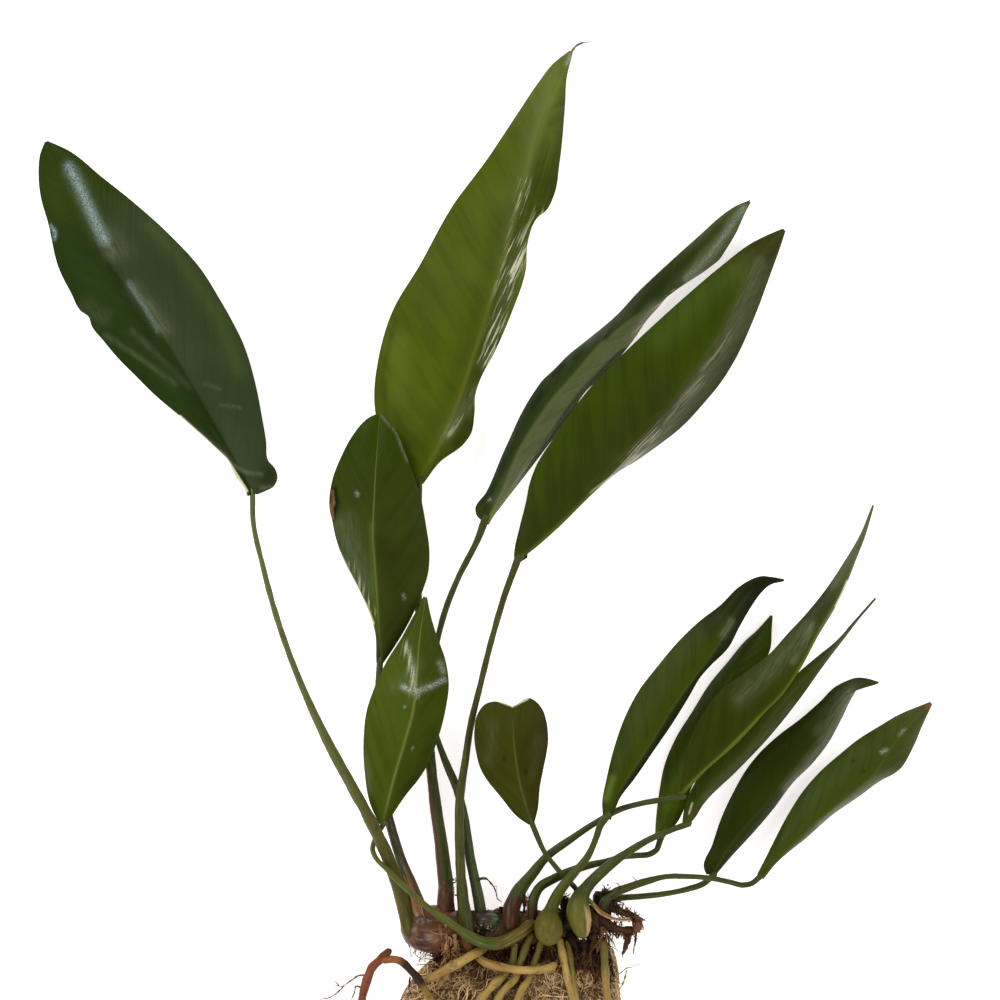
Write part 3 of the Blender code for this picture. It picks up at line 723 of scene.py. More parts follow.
STEM = Body((
    (-13.5, -107.3, 11.0, 1.5), (-12.6, -107.3, 11.0, 4.2), (-10.5, -107.4, 11.0, 5.2),
    (-8.4, -107.5, 11.0, 5.6), (-4.0, -107.6, 11.0, 6.2), (3.0, -107.8, 11.0, 6.3),
    (10.0, -107.6, 10.3, 5.8), (16.0, -107.0, 9.3, 5.2), (24.0, -106.0, 9.0, 5.0),
    (31.0, -104.8, 9.0, 4.8), (35.5, -103.9, 9.0, 4.1), (37.6, -103.5, 9.0, 2.4),
))
SHEATH = Body((
    (-25.6, -106.4, 11.0, 1.2), (-24.6, -106.5, 11.0, 3.8), (-22.5, -106.7, 11.0, 5.8),
    (-19.0, -107.0, 11.0, 7.0), (-15.0, -107.2, 11.0, 7.1), (-11.5, -107.4, 11.0, 6.4),
    (-8.8, -107.5, 11.0, 5.6),
))


@dataclass(frozen=True)
class Socket:
    """Where a stalk or a root stands on the stem or the sheath."""

    body: Body
    x: float
    angle: float
    depth: float = 0.45

    def points(self) -> Points:
        """Return a point above the surface, one on it and one inside the body."""
        place = self.body.surface(self.x, math.radians(self.angle))
        axis = self.body.axis(self.x)
        away = (place - axis) / np.linalg.norm(place - axis)
        inside = place + (axis - place) * self.depth
        return tuple(tuple(point) for point in (place + away * 3.0, place, inside))


def space_line(points: Points, stations: np.ndarray) -> np.ndarray:
    """Read a smooth line through points in space at shares of its length.

    Args:
        points: The places that it passes, x, y and z.
        stations: Shares of the length, from 0 to 1.

    Returns:
        One place for each station, by the same cubic Hermite as smooth_line.
    """
    places = np.asarray(points, dtype=float)
    steps = np.linalg.norm(np.diff(places, axis=0), axis=1)
    knots = np.concatenate(([0.0], np.cumsum(steps)))
    slopes = np.gradient(places, knots, axis=0)
    where = np.asarray(stations) * knots[-1]
    span = np.clip(np.searchsorted(knots, where, side="right") - 1, 0, len(steps) - 1)
    width = steps[span][:, None]
    t = (where - knots[span])[:, None] / width
    return (
        (2 * t**3 - 3 * t**2 + 1) * places[span]
        + (t**3 - 2 * t**2 + t) * width * slopes[span]
        + (3 * t**2 - 2 * t**3) * places[span + 1]
        + (t**3 - t**2) * width * slopes[span + 1]
    )


def frames_along(centres: np.ndarray) -> tuple[np.ndarray, np.ndarray]:
    """Return two directions square to a path, turned as little as possible along it.

    Args:
        centres: The path's places, in rows.

    Returns:
        The first direction, which starts near +Z, and the second, square to it.
    """
    tangents = np.gradient(centres, axis=0)
    tangents /= np.linalg.norm(tangents, axis=1, keepdims=True)
    normal = np.array((0.0, 0.0, 1.0))
    normals = []
    for tangent in tangents:
        normal = normal - tangent * normal.dot(tangent)
        normal = normal / np.linalg.norm(normal)
        normals.append(normal)
    first = np.array(normals)
    return first, np.cross(tangents, first)


def carried_ring(centres: np.ndarray, radii: np.ndarray,
                 angles: np.ndarray) -> np.ndarray:
    """Carry a ring along a path.

    Args:
        centres: The path's places, in rows.
        radii: One radius for each place, or for each place and angle.
        angles: The ring's angles, 0 at the first direction of frames_along.

    Returns:
        The points, rows along the path and columns around it.
    """
    first, second = frames_along(centres)
    radii = radii if radii.ndim == 2 else radii[:, None]
    spokes = (np.cos(angles)[None, :, None] * first[:, None, :]
              + np.sin(angles)[None, :, None] * second[:, None, :])
    return centres[:, None, :] + radii[..., None] * spokes


def close_tube(points: np.ndarray) -> tuple[np.ndarray, np.ndarray]:
    """Close a tube of rings with a pole point at each end.

    Args:
        points: Rows along the tube and columns around it.

    Returns:
        The points, a pole before them and one after them, and outward faces.
    """
    flat = np.concatenate((points[:1].mean(axis=1), points.reshape(-1, 3),
                           points[-1:].mean(axis=1)))
    return flat, face_outwards(flat, closed_faces(*points.shape[:2]))


@dataclass(frozen=True)
class SkinFinish:
    """Skin of stalks and roots: two colours along, fine lengthwise lines, stains and a lit side."""

    near: Colour
    far: Colour
    turn: float = 0.75
    turn_over: float = 0.24
    line: Colour = paint(116, 126, 52)
    line_show: float = 0.45
    side: Colour = paint(60, 34, 22)
    side_at: float = 0.4
    side_show: float = 0.0
    side_width: float = 0.12
    side_from: float = 0.45
    stain: Colour = paint(66, 42, 26)
    stain_show: float = 0.35
    stain_size: float = 420.0
    rough: float = 0.34
    coat: float = 0.06

    def make(self, name: str) -> bpy.types.Material:
        """Build the material. Lines run along, as noise stretched lengthwise.

        Args:
            name: The material's name.

        Returns:
            The material.
        """
        sheet = NodeSheet(name, Specular_IOR_Level=0.14, Coat_Weight=self.coat,
                          Coat_Roughness=0.2)
        along, around, share = sheet.parts(sheet.attribute("tube_place", "Vector"))
        place = sheet.solid_place()
        cloud = sheet.noise(place, 110.0)
        grain = sheet.noise(place, 1500.0, 2.0)
        line_place = sheet.joined(sheet.calc("MULTIPLY", along, 0.06),
                                  sheet.calc("MULTIPLY", around, 4.0), 0.0)
        line = sheet.noise(line_place, 2.2, 3.0, 0.6)
        blur = sheet.calc("ADD", share, sheet.calc("MULTIPLY", cloud, 0.08))
        colour = sheet.mix(sheet.step(blur, self.turn, self.turn + self.turn_over),
                           self.near, self.far)
        tone = sheet.calc("ADD", 0.55, sheet.calc("MULTIPLY", cloud, 0.9))
        colour = sheet.mix(1.0, colour, sheet.joined(tone, tone, tone), "MULTIPLY")
        bright = sheet.calc("MULTIPLY", sheet.step(line, 0.5, 0.78), self.line_show)
        colour = sheet.mix(bright, colour, self.line)
        dim = sheet.calc("MULTIPLY", sheet.step(line, 0.46, 0.25), 0.45)
        colour = sheet.mix(dim, colour, paint(36, 38, 18))
        away = sheet.calc("ABSOLUTE", sheet.calc("SUBTRACT", around, self.side_at))
        band = sheet.calc("MULTIPLY", sheet.step(away, self.side_width + 0.05, self.side_width),
                          sheet.step(share, self.side_from - 0.1, self.side_from))
        colour = sheet.mix(sheet.calc("MULTIPLY", band, self.side_show), colour, self.side)
        spot = sheet.step(sheet.noise(place, self.stain_size, 4.0, 0.7), 0.56, 0.68)
        colour = sheet.mix(sheet.calc("MULTIPLY", spot, self.stain_show), colour, self.stain)
        rough = sheet.calc("ADD", self.rough, sheet.calc("MULTIPLY", grain, 0.2))
        height = sheet.calc("ADD", line, sheet.calc("MULTIPLY", grain, 0.3))
        height = sheet.calc("SUBTRACT", height, sheet.calc("MULTIPLY", spot, 0.4))
        return sheet.finish(colour, rough, height, 0.00018)


@dataclass(frozen=True)
class Tube:
    """A closed tube along a smooth path from its near end to its far end."""

    name: str
    path: Points
    radii: tuple[float, ...]
    finish: SkinFinish
    socket: Socket | None = None
    node: str = ""
    slot: str = "root"

    KIND, SIDES, STEP = "root", 20, 0.6
    LUMP, LUMP_SIZE, FINE, FINE_SIZE = 0.1, 6.0, 0.04, 1.6

    def centres(self) -> np.ndarray:
        """Return the middle line, from inside the socket outwards if there is one."""
        path = [*self.path]
        if self.socket:
            path = [*self.socket.points()[::-1], *path]
        return self.even(path)

    def even(self, path: list[tuple[float, ...]]) -> np.ndarray:
        """Return places one step apart along a path."""
        length = np.linalg.norm(np.diff(np.array(path), axis=0), axis=1).sum()
        return space_line(tuple(path), np.linspace(0.0, 1.0, max(8, int(length / self.STEP))))

    def cut(self, share: np.ndarray, angles: np.ndarray) -> np.ndarray:
        """Return the share that a groove takes from the radius; a plain tube has none."""
        return np.zeros((len(share), len(angles)))

    def build(self) -> bpy.types.Object:
        """Build the tube.

        The radius at a share s along and an angle a is the smooth profile of the radii,
        less the groove, rounded off at both ends, with coarse and fine random lumps.

        Returns:
            The object, without its finish.
        """
        centres = self.centres()
        share = np.linspace(0.0, 1.0, len(centres))
        size = profile(self.radii, share)
        ends = np.minimum(share, 1.0 - share) * len(centres) * self.STEP
        size = size * np.sqrt(1.0 - (1.0 - np.clip(ends / size, 0.05, 1.0)) ** 2)
        angles = np.linspace(-math.pi, math.pi, self.SIDES, endpoint=False)
        ring = carried_ring(centres, size[:, None] * (1.0 - self.cut(share, angles)), angles)
        seed = len(self.path) + len(self.name)
        lumps = (self.LUMP * wander(ring, self.LUMP_SIZE, seed)
                 + self.FINE * wander(ring, self.FINE_SIZE, seed + 50))
        ring += (ring - centres[:, None]) * lumps[..., None]
        points, faces = close_tube(ring)
        reach = len(centres) * self.STEP
        places = np.stack(np.broadcast_arrays(
            share[:, None] * reach, angles[None] / math.pi, share[:, None],
        ), axis=-1).reshape(-1, 3)
        places = np.concatenate((((0.0, 0.0, 0.0),), places, ((reach, 0.0, 1.0),)))
        uv = np.column_stack((places[:, 2], places[:, 1] * 0.5 + 0.5))
        name = f"{self.KIND}_form_{self.name}"
        return make_piece(name, points, faces, {"tube_place": places}, uv)

    def dress(self) -> bpy.types.Object:
        """Build the tube and give it its finish."""
        material = self.finish.make(f"{self.KIND}_skin_{self.name}")
        return settle(self.build(), material, self.slot, self.node or f"{self.KIND}_{self.name}")


@dataclass(frozen=True)
class Stalk(Tube):
    """A leaf stalk from its blade to the stem, with a groove that deepens towards its base."""

    slot: str = "stalk"
    groove: float = 0.22
    groove_side: float = -0.7

    KIND, SIDES, STEP = "stalk", 28, 0.7
    LUMP, LUMP_SIZE, FINE, FINE_SIZE = 0.05, 9.0, 0.015, 1.8
    TUCK, SINK = 3.0, 0.35

    def centres(self) -> np.ndarray:
        """Return the middle line, tucked under the blade and sunk into the stem."""
        first, second = np.array(self.path[0]), np.array(self.path[1])
        back = (first - second) / np.linalg.norm(first - second)
        tucked = first + back * self.TUCK - (0.0, 0.0, self.SINK)
        inner = self.socket.points() if self.socket else ()
        return self.even([tuple(tucked), *self.path, *inner])

    def cut(self, share: np.ndarray, angles: np.ndarray) -> np.ndarray:
        """Groove g(s) exp(-((a - side) / 0.5)^2), g from 0 at the blade to its full depth.

        Args:
            share: Shares along the stalk.
            angles: Angles around it.

        Returns:
            The share taken from the radius, rows along and columns around.
        """
        turn = np.angle(np.exp(1j * (angles - self.groove_side)))
        depth = self.groove * np.clip(share * 1.6 - 0.2, 0.0, 1.0)
        return depth[:, None] * np.exp(-(turn[None] / 0.5) ** 2)


def strand_mesh(name: str, paths: np.ndarray, radii: np.ndarray,
                tones: np.ndarray) -> bpy.types.Object:
    """Make many thin four-sided tubes as one mesh.

    Each ring is the path's place plus the radius times the four directions square to the
    path. Both ends are closed with a quad.

    Args:
        name: The object's name.
        paths: Places in millimetres: strands, places along each and three coordinates.
        radii: The radius at each place.
        tones: A value for each strand, from 0 for dark to 1 for pale.

    Returns:
        The object, without its finish.
    """
    count, steps = paths.shape[:2]
    tangents = np.gradient(paths, axis=1)
    tangents /= np.maximum(np.linalg.norm(tangents, axis=2, keepdims=True), 1e-9)
    side = np.cross(tangents, (0.11, 0.07, 0.99))
    side /= np.maximum(np.linalg.norm(side, axis=2, keepdims=True), 1e-9)
    other = np.cross(tangents, side)
    spokes = np.stack((side, other, -side, -other), axis=2)
    points = paths[:, :, None, :] + radii[:, :, None, None] * spokes
    one = grid_faces(steps, 4, ring=True)
    last = (steps - 1) * 4
    one = np.concatenate((one, [[3, 2, 1, 0]], [[last, last + 1, last + 2, last + 3]]))
    faces = (one[None] + (np.arange(count) * steps * 4)[:, None, None]).reshape(-1, 4)
    flat = points.reshape(-1, 3)
    marks = {"tone": np.repeat(tones, steps * 4)}
    return make_piece(name, flat, face_outwards(flat, faces), marks)


@dataclass(frozen=True)
class FibreFinish:
    """Colour of hairs and shreds, from a dark one to a pale one by strand."""

    dark: Colour
    pale: Colour
    rough: float = 0.55

    def make(self, name: str) -> bpy.types.Material:
        """Build the material: the strand's tone picks the colour and noise blotches it.

        Args:
            name: The material's name.

        Returns:
            The material.
        """
        sheet = NodeSheet(name, Specular_IOR_Level=0.12)
        place = sheet.solid_place()
        cloud = sheet.noise(place, 260.0, 3.0)
        grain = sheet.noise(place, 1800.0, 2.0)
        tone = sheet.calc("ADD", sheet.attribute("tone"),
                          sheet.calc("MULTIPLY", sheet.calc("SUBTRACT", cloud, 0.5), 0.9))
        colour = sheet.mix(sheet.step(tone, 0.0, 1.0), self.dark, self.pale)
        rough = sheet.calc("ADD", self.rough, sheet.calc("MULTIPLY", grain, 0.2))
        return sheet.finish(colour, rough, grain, 0.00005)


@dataclass(frozen=True)
class Strand:
    """One drawn hair or shred: its path, its widest radius and its tone."""

    path: Points
    radius: float = 0.16
    tone: float = 0.4


@dataclass(frozen=True)
class Wisps:
    """A few drawn strands joined in one mesh, each thinning to its end."""

    name: str
    strands: tuple[Strand, ...]
    finish: FibreFinish
    slot: str = "root"
    waver: float = 0.35

    STEPS = 40

    def dress(self) -> bpy.types.Object:
        """Build the strands as smooth lines with a slight waver, and dress them."""
        share = np.linspace(0.0, 1.0, self.STEPS)
        paths = np.stack([space_line(strand.path, share) for strand in self.strands])
        shift = [wander(paths, 3.5, seed) for seed in (5, 6, 7)]
        paths = paths + self.waver * np.stack(shift, axis=-1) * share[None, :, None]
        paths[..., 2] = np.maximum(paths[..., 2], 0.2)
        widest = np.array([strand.radius for strand in self.strands])
        lumps = 1.0 + 0.25 * wander(paths, 1.7, 8)
        radii = widest[:, None] * (1.0 - 0.75 * share[None] ** 1.5) * lumps
        tones = np.array([strand.tone for strand in self.strands])
        made = strand_mesh(self.name, paths, np.maximum(radii, 0.03), tones)
        return settle(made, self.finish.make(f"{self.name}_fibre"), self.slot)


@dataclass(frozen=True)
class Tuft:
    """Torn fibres that stand along a path and lean one way."""

    name: str
    path: Points
    count: int
    spread: float
    lean: float
    length: tuple[float, float]
    finish: FibreFinish
    radius: float = 0.16
    fan: float = 0.6
    tones: tuple[float, float] = (0.0, 0.8)
    slot: str = "stem"

    STEPS = 12

    def dress(self) -> bpy.types.Object:
        """Scatter the fibres and dress them.

        A fibre starts near the path and heads off at the lean in degrees from +X, within
        the fan. It bends by one sine wave, sinks by a fifth of its length and thins out.

        Returns:
            The object.
        """
        rng = np.random.default_rng(len(self.name) * 7 + self.count)
        share = np.linspace(0.0, 1.0, self.STEPS)[None]
        start = space_line(self.path, np.sort(rng.uniform(0.0, 1.0, self.count)))
        start = start + rng.normal(size=start.shape) * self.spread * (0.5, 0.5, 0.35)
        heading = math.radians(self.lean) + rng.normal(0.0, self.fan, (self.count, 1))
        length = rng.uniform(*self.length, (self.count, 1))
        bend = length * rng.normal(0.0, 0.12, (self.count, 1)) * np.sin(math.pi * 1.4 * share)
        x = start[:, :1] + length * share * np.cos(heading) - bend * np.sin(heading)
        y = start[:, 1:2] + length * share * np.sin(heading) + bend * np.cos(heading)
        z = np.maximum(start[:, 2:] - 0.2 * length * share**2, 0.2)
        widths = self.radius * rng.uniform(0.5, 1.6, (self.count, 1)) * (1.0 - 0.7 * share**2)
        made = strand_mesh(self.name, np.stack((x, y, z), axis=-1), widths,
                           rng.uniform(*self.tones, self.count))
        return settle(made, self.finish.make(f"{self.name}_fibre"), self.slot)


@dataclass(frozen=True)
class BarkFinish:
    """Dark stem or sheath tissue: two tones, bands around it, pale scurf and green patches."""

    dark: Colour
    light: Colour
    scurf: Colour
    scurf_show: float = 0.3
    moss_show: float = 0.0
    band: float = 0.0
    rough: float = 0.5
    coat: float = 0.05
    relief: float = 0.0004

    def make(self, name: str) -> bpy.types.Material:
        """Build the material from noise at three sizes and, if asked, lengthwise lines.

        Args:
            name: The material's name.

        Returns:
            The material.
        """
        sheet = NodeSheet(name, Specular_IOR_Level=0.15, Coat_Weight=self.coat,
                          Coat_Roughness=0.2)
        place = sheet.solid_place()
        cloud = sheet.noise(place, 190.0, 4.0, 0.65)
        fine = sheet.noise(place, 950.0, 3.0, 0.6)
        streak = sheet.noise(sheet.solid_place((0.18, 1.0, 1.0)), 900.0, 3.0, 0.6)
        colour = sheet.mix(sheet.step(cloud, 0.35, 0.65), self.dark, self.light)
        line = sheet.calc("MULTIPLY", sheet.step(streak, 0.5, 0.68), self.band)
        colour = sheet.mix(line, colour, self.scurf)
        moss = sheet.step(sheet.noise(sheet.solid_place((1.0, 1.0, 1.0)), 120.0, 2.0), 0.52, 0.62)
        colour = sheet.mix(sheet.calc("MULTIPLY", moss, self.moss_show), colour,
                           paint(62, 74, 30))
        fleck = sheet.calc("MULTIPLY", sheet.step(fine, 0.6, 0.72), self.scurf_show)
        colour = sheet.mix(fleck, colour, self.scurf)
        rough = sheet.calc("ADD", self.rough, sheet.calc("MULTIPLY", fine, 0.25))
        height = sheet.calc("ADD", cloud, sheet.calc("MULTIPLY", fine, 0.5))
        height = sheet.calc("ADD", height, sheet.calc("MULTIPLY", streak, self.band))
        return sheet.finish(colour, rough, height, self.relief)


@dataclass(frozen=True)
class Trunk:
    """The creeping stem or its papery sheath: a round body with rings and lumps."""

    name: str
    body: Body
    finish: BarkFinish
    node: str
    slot: str
    rings: float
    lumps: float
    ring_gap: float = 2.6

    COUNT_ALONG, COUNT_AROUND = 150, 110

    def dress(self) -> bpy.types.Object:
        """Build the body and dress it.

        The radius at x and an angle a is R(x) (1 + rings sin^4(pi (x + w) / gap) + lumps
        times random waves at two sizes), where w makes the leaf-scar rings uneven.

        Returns:
            The object.
        """
        line = np.asarray(self.body.stations)
        share = np.linspace(0.0, 1.0, self.COUNT_ALONG)
        rows = smooth_line(tuple((x, 0.0, y, z, r) for x, y, z, r in line), share)
        angles = np.linspace(-math.pi, math.pi, self.COUNT_AROUND, endpoint=False)
        spoke = np.stack((np.zeros_like(angles), np.cos(angles), np.sin(angles)), axis=-1)
        centre = rows[:, [0, 2, 3]]
        skin = centre[:, None] + rows[:, 4][:, None, None] * spoke[None]
        phase = (skin[..., 0] + 1.1 * wander(skin, 9.0, 3)) * math.pi / self.ring_gap
        swell = (self.rings * np.sin(phase) ** 4 + self.lumps * wander(skin, 5.5, 4)
                 + 0.45 * self.lumps * wander(skin, 1.9, 5) - self.rings * 0.5)
        skin += (skin - centre[:, None]) * swell[..., None]
        points, faces = close_tube(skin)
        made = make_piece(self.name, points, faces, {})
        return settle(made, self.finish.make(f"{self.name}_bark"), self.slot, self.node)


@dataclass(frozen=True)
class Crumbs:
    """Loose dark grains and scurf that cling to the stem between the leaf bases."""

    name: str
    spots: tuple[tuple[float, float, float, int], ...]
    finish: FibreFinish
    size: tuple[float, float] = (0.15, 0.48)
    rare: float = 5.0
    seed: int = 11

    def dress(self) -> bpy.types.Object:
        """Scatter small closed lumps around each spot: x, y, spread and count.

        A lump is a ball of four rings of six, squashed and turned at random. Its height
        is that of the stem's upper side under it, less a part of the spread.

        Returns:
            The object.
        """
        rng = np.random.default_rng(self.seed)
        spots = np.repeat(np.array([spot[:3] for spot in self.spots]),
                          [spot[3] for spot in self.spots], axis=0)
        count = len(spots)
        plan = spots[:, :2] + rng.normal(size=(count, 2)) * spots[:, 2:] * 0.5
        xs, ys, zs, radii = np.asarray(STEM.stations).T
        axis_y, axis_z, radius = (np.interp(plan[:, 0], xs, row) for row in (ys, zs, radii))
        reach = np.clip(1.0 - ((plan[:, 1] - axis_y) / (radius + 1.5)) ** 2, 0.0, 1.0)
        height = axis_z + (radius + 0.6) * np.sqrt(reach) - rng.uniform(0.0, 1.0, count)
        middle = np.column_stack((plan, height))
        tilt = np.array((0.12, 0.35, 0.65, 0.88)) * math.pi
        turn = np.arange(6) * math.pi / 3
        ball = np.stack((np.sin(tilt)[:, None] * np.cos(turn)[None],
                         np.sin(tilt)[:, None] * np.sin(turn)[None],
                         np.broadcast_to(np.cos(tilt)[:, None], (4, 6))), axis=-1)
        ball = np.concatenate((((0.0, 0.0, 1.0),), ball.reshape(-1, 3), ((0.0, 0.0, -1.0),)))
        scale = rng.uniform(*self.size, (count, 1)) * rng.uniform(0.5, 1.4, (count, 3))
        warp = np.linalg.qr(rng.normal(size=(count, 3, 3)))[0]
        warp *= np.sign(np.linalg.det(warp))[:, None, None]
        lumps = np.einsum("pk,nk,nkj->npj", ball, scale, warp) + middle[:, None]
        one = closed_faces(4, 6)
        faces = (one[None] + (np.arange(count) * len(ball))[:, None, None]).reshape(-1, 4)
        flat = lumps.reshape(-1, 3)
        marks = {"tone": np.repeat(rng.uniform(0.0, 1.0, count) ** self.rare, len(ball))}
        made = make_piece(self.name, flat, face_outwards(flat, faces), marks)
        return settle(made, self.finish.make(f"{self.name}_grain"), "stem")


@dataclass(frozen=True)
class Tangle:
    """The mound of fine roots: a lumpy core and layers of crossing hairs around it."""

    middle: tuple[float, float] = (8.0, -135.0)
    front: float = -112.8
    length: float = 45.9
    outline: Points = (
        (-14, -115.2), (0, -114.7), (16, -113.8), (33, -111.6), (38, -113.4), (39.8, -126),
        (40.6, -134), (39.4, -142), (35.5, -149), (29, -154), (11, -158.4), (2, -158.7),
        (-8, -157), (-17, -152), (-24, -145), (-27.4, -137), (-25.4, -128), (-20.5, -120.5),
    )
    core_finish: BarkFinish = BarkFinish(paint(56, 34, 20), paint(112, 76, 44),
                                         paint(168, 136, 92), 0.5, rough=0.6, coat=0.0)
    hair_finish: FibreFinish = FibreFinish(paint(88, 54, 28), paint(228, 194, 142))

    def reach(self, x: np.ndarray, y: np.ndarray) -> np.ndarray:
        """Return each place's distance from the middle as a share of the outline's there."""
        edge = np.array(self.outline) - self.middle
        angle = np.arctan2(edge[:, 1], edge[:, 0])
        radius = np.interp(np.arctan2(y - self.middle[1], x - self.middle[0]), angle,
                           np.hypot(*edge.T), period=2 * math.pi)
        return np.hypot(x - self.middle[0], y - self.middle[1]) / radius

    def top(self, x: np.ndarray, y: np.ndarray) -> np.ndarray:
        """Height of the mound: a rounded shoulder that falls away from the stem.

        Args:
            x: Places across.
            y: Places along.

        Returns:
            The heights: 11.8 (1 - r^5)^0.5 (1 - 0.42 f^1.5), with r the reach and f the
            share of the way from the stem's side to the far end.
        """
        share = np.clip(self.reach(x, y), 0.0, 1.0)
        fall = np.clip((self.front - y) / self.length, 0.0, 1.0)
        return 11.8 * np.sqrt(1.0 - share**5) * (1.0 - 0.42 * fall**1.5)

    def core(self) -> None:
        """Build the closed core, a little inside the mound, and dress it."""
        turn = np.linspace(-math.pi, math.pi, 170, endpoint=False)
        share = np.sin(np.linspace(0.02, 0.5, 46) * math.pi)
        edge = np.array(self.outline) - self.middle
        angle = np.arctan2(edge[:, 1], edge[:, 0])
        radius = np.interp(turn, angle, np.hypot(*edge.T), period=2 * math.pi) * 0.965
        plan = share[:, None] * radius[None]
        x = self.middle[0] + plan * np.cos(turn)
        y = self.middle[1] + plan * np.sin(turn)
        upper = np.stack((x, y, self.top(x, y) * 0.86), axis=-1)
        lumps = 0.9 * wander(upper, 7.0, 31) + 0.45 * wander(upper, 2.4, 32)
        upper[..., 2] = np.maximum(upper[..., 2] + lumps - 0.4, 0.7)
        lower = np.stack((x, y, np.full_like(x, 0.25)), axis=-1)[::-1]
        points, faces = close_tube(np.concatenate((upper, lower)))
        made = make_piece("tangle_core", points, faces, {})
        settle(made, self.core_finish.make("tangle_felt"), "tangle", "root_mass")

    def hairs(self, name: str, count: int, radius: float, tone: tuple[float, float],
              seed: int) -> None:
        """Grow hairs from the stem's side over and through the mound.

        A hair starts at a random place, heads away from the stem within a spread, and
        bends by two sine waves square to its heading. Its height follows the mound's top
        times a random layer.

        Args:
            name: The object's name.
            count: How many hairs.
            radius: Their middle radius in millimetres.
            tone: The least and greatest tone.
            seed: Number that fixes the hairs.
        """
        rng = np.random.default_rng(seed)
        steps = 22
        share = np.linspace(0.0, 1.0, steps)[None]
        x0 = rng.uniform(-19.0, 38.0, count)[:, None]
        y0 = -113.6 - 40.0 * rng.uniform(0.0, 1.0, count)[:, None] ** 1.7
        heading = np.arctan2(y0 + 96.0, (x0 - 8.0) * 0.9) + rng.normal(0.0, 0.75, (count, 1))
        length = rng.uniform(7.0, 26.0, (count, 1))
        bend = np.zeros((count, steps))
        for waves, size in ((1.1, 2.6), (2.7, 0.9), (6.0, 0.25)):
            phase = rng.uniform(0.0, 2 * math.pi, (count, 1))
            wave = np.sin(2 * math.pi * waves * share + phase) - np.sin(phase)
            bend += rng.normal(0.0, size, (count, 1)) * wave
        x = x0 + length * share * np.cos(heading) - bend * np.sin(heading)
        y = y0 + length * share * np.sin(heading) + bend * np.cos(heading)
        draw = np.minimum(1.0, 1.0 / np.maximum(self.reach(x, y), 1e-6))
        x = self.middle[0] + (x - self.middle[0]) * draw
        y = self.middle[1] + (y - self.middle[1]) * draw
        layer = rng.uniform(0.72, 1.04, (count, 1))
        places = np.stack((x, y, self.top(x, y) * layer), axis=-1)
        places[..., 2] = np.maximum(places[..., 2] + 0.5 * wander(places, 6.0, seed), 0.2)
        widths = radius * rng.uniform(0.55, 1.5, (count, 1)) * (1.0 - 0.6 * share**2)
        made = strand_mesh(name, places, widths, rng.uniform(*tone, count))
        settle(made, self.hair_finish.make(f"{name}_fibre"), "tangle")

    def dress(self) -> None:
        part = 1
        self.core()
        self.hairs("tangle_hairs_dark", 900 // part, 0.16, (0.0, 0.45), 41)
        self.hairs("tangle_hairs_fine", 1100 // part, 0.1, (0.35, 1.0), 42)
        self.hairs("tangle_hairs_pale", 520 // part, 0.2, (0.5, 1.0), 43)


GREEN_STALK = SkinFinish(paint(88, 92, 46), paint(78, 72, 28), 0.6, 0.3)
RIGHT_STALK = SkinFinish(paint(62, 68, 26), paint(54, 40, 24), 0.92, 0.06,
                         line=paint(100, 104, 56))
FRESH_STALK = SkinFinish(paint(80, 86, 34), paint(88, 74, 28), 0.82, 0.04,
                         line=paint(134, 144, 84), line_show=0.6)
PALE_ROOT = SkinFinish(paint(168, 138, 76), paint(146, 112, 62), 0.5, line=paint(204, 180, 120),
                       line_show=0.6, stain_show=0.6, rough=0.42)
OLIVE_ROOT = SkinFinish(paint(100, 90, 38), paint(150, 124, 68), 0.3, line=paint(176, 160, 96),
                        line_show=0.5, stain_show=0.6, rough=0.42)
RED_ROOT = SkinFinish(paint(92, 54, 32), paint(124, 70, 44), 0.08, 0.1, line=paint(164, 104, 70),
                      line_show=0.5, stain=paint(56, 32, 24), stain_show=0.5, rough=0.5, coat=0.0)
DARK_ROOT = SkinFinish(paint(126, 104, 48), paint(50, 34, 24), 0.55, 0.08, line=paint(112, 76, 54),
                       line_show=0.4, side=paint(150, 90, 50), side_width=1.6, side_show=0.85,
                       side_from=0.86, stain=paint(40, 26, 22), stain_show=0.6, rough=0.5,
                       coat=0.0)
DEAD_BASE = SkinFinish(paint(48, 32, 24), paint(66, 42, 28), 0.4, line=paint(118, 84, 56),
                       line_show=0.6, stain=paint(26, 17, 12), stain_show=0.8, rough=0.65, coat=0.0)
DEAD_KNOB = SkinFinish(paint(84, 56, 40), paint(112, 76, 54), 0.3, line=paint(150, 110, 84),
                       line_show=0.6, stain=paint(40, 26, 20), stain_show=0.7, rough=0.6, coat=0.0)
STRAP = SkinFinish(paint(104, 104, 46), paint(196, 164, 110), 0.2, 0.2, line=paint(214, 190, 146),
                   line_show=0.4, side=paint(120, 76, 40), side_at=-0.1, side_width=0.14,
                   side_show=0.9, side_from=0.3, stain=paint(84, 56, 36), stain_show=0.5,
                   rough=0.5, coat=0.0)

